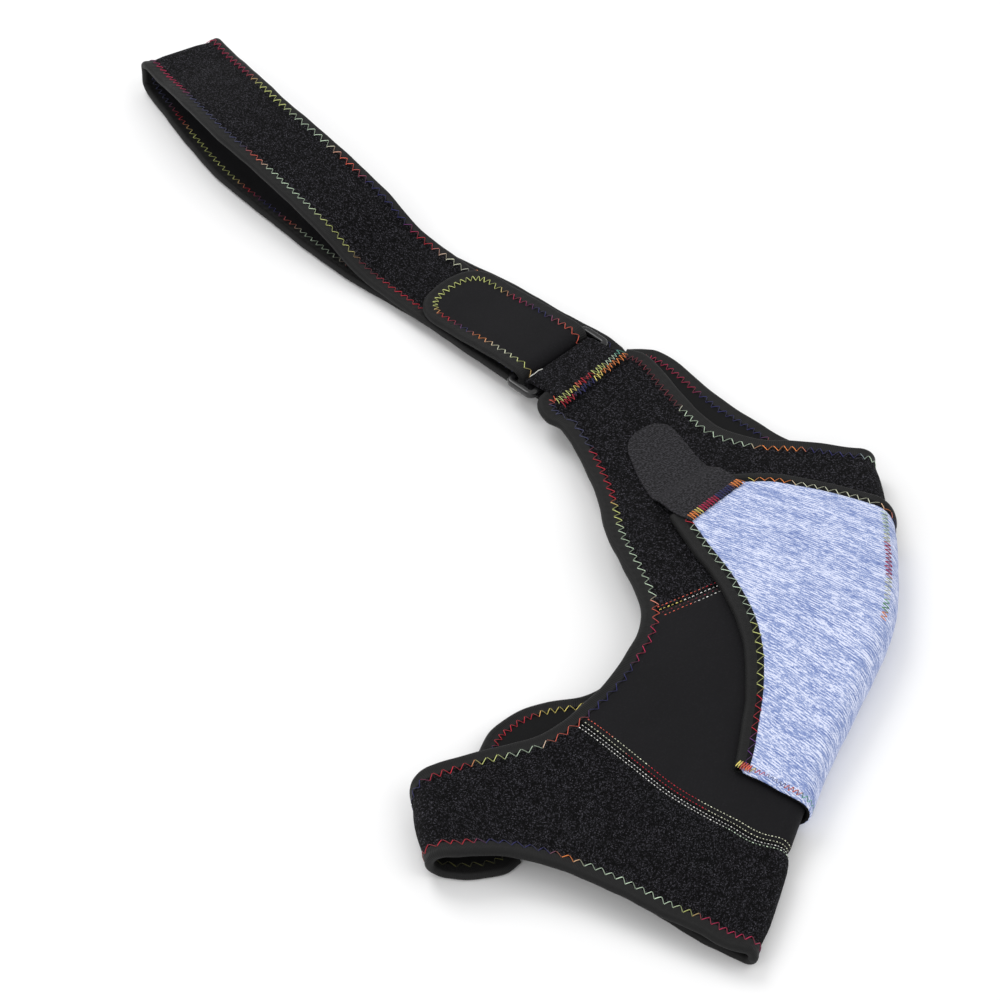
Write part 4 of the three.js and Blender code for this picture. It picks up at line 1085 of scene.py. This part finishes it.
edgeLines = np.vstack([rims["front"], rims["back"], rims["neck"], rims["hem"]])
seamLines = np.vstack([seams["upper"], seams["lower"]])
edgeTree, seamTree = treeOf(edgeLines), treeOf(seamLines)
bodyLook = {"thick": body["thick"], "net": 2.1, "round": 0.9, "swell": 0.6, "swellOver": 12.0,
            "underShare": 0.4, "groove": 0.5, "dimple": 0.1, "faces": (0, 1), "side": 0}

yoke, yokeFlat, yokeArea = clothPiece(
    "yoke", yokeOutline, bodySheet, bodyLook, [loopPile, lining], edgeLines, seamLines)
shoulderCap, capFlat, capArea = clothPiece(
    "shoulder_cap", capOutline, bodySheet, bodyLook, [smoothCloth, lining], edgeLines, seamLines)
armBand, armFlat, armArea = clothPiece(
    "cuff_band", armOutline, bodySheet, bodyLook, [loopPile, lining], edgeLines, seamLines)

pocketLook = {"thick": body["thick"], "net": 1.8, "round": 0.8, "swell": 0.25, "swellOver": 9.0,
              "underShare": 0.0, "dimple": 0.22, "faces": (0, 1), "side": 1}
pocketRims = np.vstack([rims["pocketSide"], rims["pocketTop"]])
pocket, pocketFlat, pocketArea = clothPiece(
    "shoulder_flap", pocketOutline, bodySheet, pocketLook, [blueKnit, lining], pocketRims, None, pocketLift)

# The tab climbs over the flap's corner and is sewn down along a seam there
tabLook = {"thick": 0.9, "net": 1.5, "round": 0.35, "swell": 0.0, "swellOver": 4.0,
           "low": 2.35, "high": 6.45, "sewn": 5.75, "climbFrom": 14.0, "climbOver": 11.0}
tabUpper = [
    (0.446, 0.777), (0.450, 0.796), (0.465, 0.811), (0.492, 0.824), (0.518, 0.828), (0.544, 0.820),
    (0.576, 0.787), (0.594, 0.764), (0.622, 0.739), (0.655, 0.720), (0.684, 0.700),
]
tabLower = [
    (0.446, 0.777), (0.454, 0.755), (0.469, 0.720), (0.486, 0.692), (0.508, 0.664), (0.535, 0.643),
    (0.571, 0.629),
]
tabSeam = onFront([(0.567, 0.634), (0.679, 0.705)])
tabOutline = np.vstack([
    curveThrough(onFront(tabLower), 0.8), evenly(onFront([tabLower[-1], tabUpper[-1]]), 0.8)[1:-1],
    curveThrough(onFront(tabUpper), 0.8)[::-1][:-1],
])


def tabLift(places):
    corner = evenly(pocketCorner, 0.8)
    nearest = distanceTo(treeOf(corner), places)
    seamWay = tabSeam[1] - tabSeam[0]
    seamWay = seamWay / np.linalg.norm(seamWay)
    outward = (places - tabSeam[0]) @ np.array([-seamWay[1], seamWay[0]])
    climb = eased((tabLook["climbFrom"] - np.where(outward > 7.5, nearest, 0)) / tabLook["climbOver"])
    settle = eased((6.5 - outward) / 6.0)
    lift = tabLook["low"] + (tabLook["high"] - tabLook["low"]) * climb
    return lift - (tabLook["high"] - tabLook["sewn"]) * settle


hookTab, tabFlat, tabArea = clothPiece(
    "hook_tab", tabOutline, bodySheet, tabLook, [hookCloth], None, None, tabLift)

strapRimIn = shifted(rims["strap"], -(rimInset + 0.1))
strapLook = {"thick": body["thick"], "net": 1.9, "round": 0.9, "swell": 0.5, "swellOver": 8.0,
             "underShare": 1.0, "dimple": 0.08, "faces": (1, 0), "side": 0}
crossStrap, strapFlat, strapArea = clothPiece(
    "cross_strap_cloth", strapRimIn, strapSheet, strapLook, [loopPile, smoothCloth], rims["strap"])

hookRim = shifted(rims["strap"], -(body["bindWidth"] + 0.6))
hookOutline = hookRim[hookRim[:, 0] > strapLength - 56]
patchLook = {"thick": 1.6, "net": 2.0, "round": 0.5, "swell": 0.0, "swellOver": 4.0}
hookPatch, patchFlat, patchArea = clothPiece(
    "strap_hooks", hookOutline, strapSheet, patchLook, [hookCloth], None, None, -(body["thick"] / 2 + 1.2))

# Strip that holds the ring, round its near bar and over both faces of the front tip
carrierLook = {"wide": 0.2 * wide, "lap": 9.0, "slack": 0.3, "tipShare": 0.4, "bulge": 8.6, "slant": 3.6,
               "tipAlong": -0.42 * strap["width"]}


def carrierProfile():
    radius = (ring["wire"] + body["thick"]) / 2 + body["gap"]
    tipLevel = float(frontZ(carrierLook["tipShare"], 0.857 * long))
    leg = body["thick"] + body["gap"] + 0.35
    tipAlong, endAlong = carrierLook["tipAlong"], carrierLook["tipAlong"] - carrierLook["lap"]
    barLow = ringHeight - radius
    middleAlong = (tipAlong - barAlong) / 2
    bends = [
        (endAlong, tipLevel - leg), (tipAlong, tipLevel - leg),
        (middleAlong, barLow + carrierLook["slack"] * (tipLevel - leg - barLow)), (-barAlong, barLow),
    ]
    for i in range(1, 7):
        turn = math.pi * i / 6
        along = carrierLook["bulge"] * math.sin(turn) - barAlong
        bends.append((along, ringHeight - radius * math.cos(turn)))
    bends.append((middleAlong, (tipLevel + leg + ringHeight + radius) / 2))
    bends.append((tipAlong, tipLevel + leg))
    bends.append((endAlong, tipLevel + leg))
    return np.array(bends)


carrierDense, carrierAlong = centripetal(carrierProfile())
carrierSheet = bentSheet(carrierDense, carrierAlong)
carrierLength = float(carrierAlong[-1])
carrierHalf = carrierLook["wide"] / 2
carrierOutline = evenly(np.array([
    (0, -carrierHalf), (carrierLength - carrierLook["slant"], -carrierHalf), (carrierLength, carrierHalf),
    (0, carrierHalf), (0, -carrierHalf),
]), 1.0)[:-1]
stripLook = {"thick": 2.2, "net": 1.5, "round": 0.7, "swell": 0.0, "swellOver": 4.0, "faces": (1, 0),
             "side": 0}
ringStrip, stripFlat, stripArea = clothPiece(
    "ring_strip", carrierOutline, carrierSheet, stripLook, [loopPile, smoothCloth])
print("cloth cut and laid")

# the strap's far rim is turned in more narrowly, except round the folded end
farLook = {"narrower": 0.42, "from": 95, "over": 40}
farAlong = np.arange(len(rims["strap"])) - len(rims["strap"]) / 2
farSlim = 1 - farLook["narrower"] * eased((farAlong - farLook["from"]) / farLook["over"])
pocketTopRim = rims["pocketTop"][rims["pocketTop"][:, 0] < pocketEnd]
darkEdged = [bindingTape, lining]
tapes = {
    "front": tapePiece("armpit_tape", bodySheet, rims["front"], 1, [bindingTape]),
    "neck": tapePiece("neck_tape", bodySheet, rims["neck"], -1, [bindingTape]),
    "back": tapePiece("back_tape", bodySheet, rims["back"], -1, [bindingTape]),
    "hem": tapePiece("hem_tape", bodySheet, rims["hem"], 1, [bindingTape]),
    "strap": tapePiece("strap_tape", strapSheet, rims["strap"], -1, [bindingTape], slim=farSlim),
    "pocketSide": tapePiece(
        "flap_side_tape", bodySheet, rims["pocketSide"], 1, darkEdged, pocketLift, (5.0, 7.8)),
    "pocketTop": tapePiece("flap_top_tape", bodySheet, pocketTopRim, -1, darkEdged, pocketLift, (4.0, 6.4)),
}
print("rims bound")


# Gloss ring: one rounded bar swept round a rounded rectangle
ringLook = {"corner": 2.5, "squareness": 3.4, "around": 24, "step": 0.6}


def makeRing():
    halfLong = strap["width"] / 2 + ring["slack"] + ring["wire"] / 2
    halfShort = ring["barSpacing"] / 2
    corner = ringLook["corner"]
    path = []
    for turn, (cx, cy) in enumerate([(1, 1), (-1, 1), (-1, -1), (1, -1)]):
        for angle in np.linspace(0, math.pi / 2, 9) + turn * math.pi / 2:
            path.append((cx * (halfLong - corner) + corner * math.cos(angle),
                         cy * (halfShort - corner) + corner * math.sin(angle)))
    path = evenly(np.array(path + path[:1]), ringLook["step"])[:-1]
    along = np.roll(path, -1, axis=0) - np.roll(path, 1, axis=0)
    along /= np.linalg.norm(along, axis=1, keepdims=True)
    outward = np.column_stack([along[:, 1], -along[:, 0]])
    turns = 2 * np.pi * np.arange(ringLook["around"]) / ringLook["around"]
    power = 2 / ringLook["squareness"]
    across = ring["wire"] / 2 * np.sign(np.cos(turns)) * np.abs(np.cos(turns)) ** power
    up = ring["wire"] / 2 * np.sign(np.sin(turns)) * np.abs(np.sin(turns)) ** power
    flat = path[:, None, :] + outward[:, None, :] * across[None, :, None]
    _, side = strapPlan(np.array([0.0]))
    side = side[0][:2]
    other = np.array([-side[1], side[0]])
    plan = flat[..., 0, None] * side + flat[..., 1, None] * other + ringMiddle[:2]
    level = np.broadcast_to(ringHeight + up, plan.shape[:2])
    points = np.concatenate([plan, level[..., None]], -1).reshape(-1, 3)
    count, rows = len(turns), len(path)
    i = np.arange(rows)[:, None] * count + np.arange(count)
    j = np.arange(rows)[:, None] * count + (np.arange(count) + 1) % count
    k = ((np.arange(rows) + 1) % rows)[:, None] * count
    following = (np.arange(count) + 1) % count
    faces = np.stack([i, k + np.arange(count), k + following, j], -1).reshape(-1, 4)
    return makePiece("gloss_ring", points, faces.tolist(), [glossPlastic])


glossRing = makeRing()
print("ring swept")

# Rows of stitches: pitches, and from where to where a zigzag reaches in from its rim
stitch = {"front": 5.6, "neck": 4.2, "back": 4.5, "hem": 6.5, "strap": 4.6, "strapFar": 5.6, "dense": 2.5,
          "foldedRun": 115, "reach": (4.9, 8.1), "farReach": (3.0, 6.2)}
upperFront = seams["upper"][seams["upper"][:, 0] < frontEnd + shoulderFoldSpan * 0.5]
lowerFront = seams["lower"][seams["lower"][:, 0] < frontEnd + shoulderFoldSpan * 0.5]

# How far along its row, as a share, each tone of the dyed thread lasts
rowTones = {
    "front": [
        (0.02, "coral"), (0.13, "slate"), (0.24, "red"), (0.285, "lime"), (0.435, "mint"), (0.47, "coral"),
        (0.535, "magenta"), (0.628, "navy"), (0.68, "coral"), (0.73, "mint"), (0.77, "lime"), (0.84, "red"),
        (0.92, "navy"), (1, "mint"),
    ],
    "neck": [
        (0.175, "wine"), (0.31, "mint"), (0.38, "orange"), (0.47, "navy"), (0.6, "mint"), (0.68, "coral"),
        (0.83, "navy"), (0.97, "magenta"), (1, "red"),
    ],
    "back": [
        (0.15, "mint"), (0.3, "orange"), (0.45, "navy"), (0.6, "red"), (0.7, "lime"), (0.825, "yellow"),
        (0.95, "red"), (1, "navy"),
    ],
    "hem": [
        (0.1, "olive"), (0.173, "red"), (0.262, "navy"), (0.287, "orange"), (0.432, "mint"), (0.458, "lime"),
        (0.57, "magenta"), (0.68, "navy"), (0.8, "mint"), (0.9, "orange"), (1, "red"),
    ],
    "strapPile": [
        (0.1, "mint"), (0.18, "red"), (0.244, "navy"), (0.269, "magenta"), (0.309, "slate"),
        (0.3145, "coral"), (0.343, "mint"), (0.36, "lime"), (0.375, "wine"), (0.395, "red"),
        (0.47, "slate"), (0.56, "mint"), (0.61, "navy"), (0.622, "pale"),
        (0.635, "red"), (0.662, "navy"), (0.675, "coral"), (0.7, "mint"),
        (0.724, "lime"), (0.77, "magenta"), (0.85, "navy"), (0.92, "orange"), (1, "mint"),
    ],
    "strapSmooth": [
        (0.1, "navy"), (0.12, "wine"), (0.1425, "mint"), (0.1465, "coral"), (0.163, "navy"), (0.1705, "red"),
        (0.2042, "lime"), (0.215, "red"), (0.25, "slate"), (0.4, "navy"), (0.442, "coral"), (0.447, "lime"),
        (0.46, "pale"), (0.466, "orange"), (0.473, "navy"), (0.483, "red"), (0.527, "lime"),
        (0.537, "magenta"), (0.55, "navy"), (0.575, "coral"), (0.8, "mint"), (0.94, "orange"), (1, "navy"),
    ],
    "pocketSide": [(0.05, "red"), (0.49, "mint"), (0.75, "lime"), (0.9, "red"), (1, "purple")],
    "pocketTop": [
        (0.06, "yellow"), (0.17, "orange"), (0.42, "pale"), (0.45, "orange"), (0.7, "navy"), (1, "red"),
    ],
    "pocketFloor": [
        (0.04, "yellow"), (0.1, "red"), (0.22, "navy"), (0.31, "coral"), (0.42, "teal"), (1, "mint"),
    ],
    "pocketBar": [(0.25, "yellow"), (1, "coral")],
    "tabSeam": [(0.12, "orange"), (0.2, "yellow"), (0.52, "magenta"), (0.84, "navy"), (1, "orange")],
    "crossOuter": [
        (0.2, "lime"), (0.3, "yellow"), (0.36, "coral"), (0.55, "red"), (0.75, "lime"), (0.92, "mint"),
        (1, "teal"),
    ],
    "crossInner": [(0.18, "red"), (0.5, "navy"), (0.62, "yellow"), (1, "orange")],
    "dart": [
        (0.2, "mint"), (0.3, "pale"), (0.62, "magenta"), (0.84, "pale"), (0.93, "green"), (1, "orange"),
    ],
}
# four rows of dots on each seam: distance to its left, tones
upperDots = [
    (2.1, [(0.2, "coral"), (0.7, "red"), (1, "pale")]), (0.4, [(0.1, "yellow"), (1, "white")]),
    (-2.2, [(0.3, "wine"), (1, "slate")]), (-4.4, [(0.12, "coral"), (1, "white")]),
]
lowerDots = [
    (2.9, [(0.12, "coral"), (0.3, "pale"), (0.55, "red"), (1, "pale")]),
    (1.0, [(0.2, "pale"), (0.6, "red"), (1, "pale")]),
    (-0.9, [(1, "white")]), (-2.8, [(0.7, "white"), (1, "mint")]),
]


def bodyRows():
    rows = []
    for name, side in [("front", 1), ("neck", -1), ("back", -1), ("hem", 1)]:
        for face in (1, -1):
            rows.append(zigzag(
                bodySheet, rims[name], side, rowTones[name], stitch["reach"], stitch[name], face))
    for seamLine, dots in ((upperFront, upperDots), (lowerFront, lowerDots)):
        for offset, tones in dots:
            rows.append(dotRow(seamLine, offset, tones))
    return rows


def strapRows():
    # past the folded end's stretch the far rim's row sits closer to its edge
    rim, half = rims["strap"], len(rims["strap"]) // 2
    foldedShare = stitch["foldedRun"] / (len(rim) - half)
    reach, pitch, farReach, farPitch = (stitch[key] for key in ("reach", "strap", "farReach", "strapFar"))
    rows = []
    for face, tones in ((1, "strapSmooth"), (-1, "strapPile")):
        table = rowTones[tones]
        middleTone = next(tone for until, tone in table if until >= 0.5)
        near = [(min(until, 0.5) * 2, tone) for until, tone in table if until < 0.5] + [(1, middleTone)]
        far = [((until - 0.5) * 2, tone) for until, tone in table if until > 0.5]
        rows.append(zigzag(strapSheet, rim[:half + 1], -1, near, reach, pitch, face))
        rows.append(zigzag(strapSheet, rim[half:], -1, far, reach, pitch, face, span=(0, foldedShare)))
        rows.append(zigzag(strapSheet, rim[half:], -1, far, farReach, farPitch, face, span=(foldedShare, 1)))
    return rows


def crossRows():
    # two dense rows side by side hold the strip to the tip, and one thread end hangs loose by the strap
    ends = [(carrierLength - 2.8, carrierHalf + 3.2), (carrierLength - 6.2, -carrierHalf - 1.2)]
    line = evenly(np.array(ends), 1.0)
    loose = np.array([(27.2, 22.4), (27.0, 19.0), (27.4, 16.0), (26.8, 13.6)])
    loose[:, 0] = carrierLength - loose[:, 0]
    dense = {"level": 1.15, "radius": 0.18, "unruly": 0.7}
    return [
        zigzag(carrierSheet, line, -1, rowTones["crossOuter"], (-0.2, 3.5), stitch["dense"], -1, **dense),
        zigzag(carrierSheet, line, -1, rowTones["crossInner"], (-3.5, 0.2), stitch["dense"], -1, **dense),
        tubesAlong(carrierSheet, loose[None], np.array([[-3.0, -3.1, -3.0, -2.8]]),
                   np.array([[0.8, 0.8, 0.74]]), 0.2),
    ]


def pocketRows():
    rows = []
    bar = evenly(np.array([pocketFloor[1] + (0, 0.8), pocketFloor[9] + (0, 0.8)]), 0.7)
    dart = evenly(onShoulderFold([
        (0.167, 0.649), (0.177, 0.600), (0.182, 0.553), (0.183, 0.509), (0.184, 0.472),
    ]), 1.0)
    # line, side, tones, reach, pitch, and what differs from a plain row
    for line, side, tones, reach, pitch, more in [
        (rims["pocketSide"], 1, "pocketSide", (4.7, 7.9), 6.2, {"level": 1.5}),
        (rims["pocketTop"], -1, "pocketTop", (3.7, 6.5), 4.9, {"level": 1.48, "span": (0.05, 0.62)}),
        (pocketFloor[floorFrom:], 1, "pocketFloor", (1.6, 4.4), 2.6, {"level": 1.12}),
        (bar, 1, "pocketBar", (0, 3.6), 1.3, {"level": 2.1, "radius": 0.24}),
        (evenly(tabSeam, 0.8), 1, "tabSeam", (-2.3, 2.1), 1.6,
         {"level": 0.52, "lift": tabLook["sewn"], "radius": 0.22, "unruly": 0.3}),
        (dart, 1, "dart", (-1.3, 1.3), 2.6, {"level": 1.3}),
    ]:
        settings = {"lift": pocketLift, **more}
        rows.append(zigzag(bodySheet, line, side, rowTones[tones], reach, pitch, **settings))
    return rows


bodyThread = threadPiece("body_thread", bodyRows(), threadMaterial)
strapThread = threadPiece("strap_thread", strapRows() + crossRows(), threadMaterial)
pocketThread = threadPiece("flap_thread", pocketRows(), threadMaterial)
print("stitches laid")

# What stands for what, and its finish
standsFor = [
    (yoke, "yoke_loop_panel", "loop_cloth"), (shoulderCap, "cap_smooth_panel", "smooth_cloth"),
    (armBand, "arm_band", "loop_cloth"), (crossStrap, "cross_strap", "loop_cloth"),
    (tapes["strap"], "strap_binding", "binding_tape"), (hookPatch, "strap_hook_patch", "hook_cloth"),
    (glossRing, "buckle_ring", "gloss_plastic"), (ringStrip, "ring_carrier", "loop_cloth"),
    (tapes["front"], "front_edge_binding", "binding_tape"), (tapes["neck"], "neck_binding", "binding_tape"),
    (tapes["back"], "back_edge_binding", "binding_tape"),
    (tapes["hem"], "cuff_lower_binding", "binding_tape"),
    (pocket, "shoulder_pocket", "blue_knit"), (tapes["pocketSide"], "pocket_side_binding", "binding_tape"),
    (tapes["pocketTop"], "pocket_top_binding", "binding_tape"), (hookTab, "pocket_hook_tab", "hook_cloth"),
]
for piece, node, finish in standsFor:
    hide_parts(node)

# Floor, light and camera
room = {"floor": 12.0, "world": 0.72, "focal": 108.0, "distance": 1.5, "elevation": 45}
# place from the target in metres, power, size
lamps = {
    "key_light": ((-0.7, 0.9, 1.5), 12.5, 1.1),
    "fill_light": ((1.1, -0.5, 1.4), 6.3, 1.4),
    "front_light": ((-0.6, -1.3, 1.1), 5.6, 1.4),
}
half = room["floor"] / 2
floorMesh = bpy.data.meshes.new("floor")
corners = [(-half, -half, 0), (half, -half, 0), (half, half, 0), (-half, half, 0)]
floorMesh.from_pydata(corners, [], [(0, 1, 2, 3)])
floorMesh.materials.append(tableTop)
floor = bpy.data.objects.new("floor", floorMesh)
bpy.context.scene.collection.objects.link(floor)

target = Vector(toFrame([40, 288, 0]).tolist())


def softLight(name, place, power, size):
    lamp = bpy.data.lights.new(name, "AREA")
    lamp.shape, lamp.size, lamp.energy = "DISK", size, power
    light = bpy.data.objects.new(name, lamp)
    light.location = target + Vector(place)
    light.rotation_euler = (target - light.location).to_track_quat("-Z", "Y").to_euler()
    bpy.context.scene.collection.objects.link(light)


for name, (place, power, size) in lamps.items():
    softLight(name, place, power, size)

world = bpy.data.worlds.new("paleRoom")
world.use_nodes = True
world.node_tree.nodes["Background"].inputs["Color"].default_value = (1, 1, 1, 1)
world.node_tree.nodes["Background"].inputs["Strength"].default_value = room["world"]
bpy.context.scene.world = world
bpy.context.scene.view_settings.view_transform = "Standard"

eye = bpy.data.cameras.new("photo_camera")
eye.lens, eye.sensor_width, eye.clip_end = room["focal"], 36.0, 20.0
camera = bpy.data.objects.new("photo_camera", eye)
angle = math.radians(room["elevation"])
camera.location = target + Vector((0, -math.cos(angle), math.sin(angle))) * room["distance"]
camera.rotation_euler = (target - camera.location).to_track_quat("-Z", "Y").to_euler()
bpy.context.scene.collection.objects.link(camera)
bpy.context.scene.camera = camera

print("scene ready")
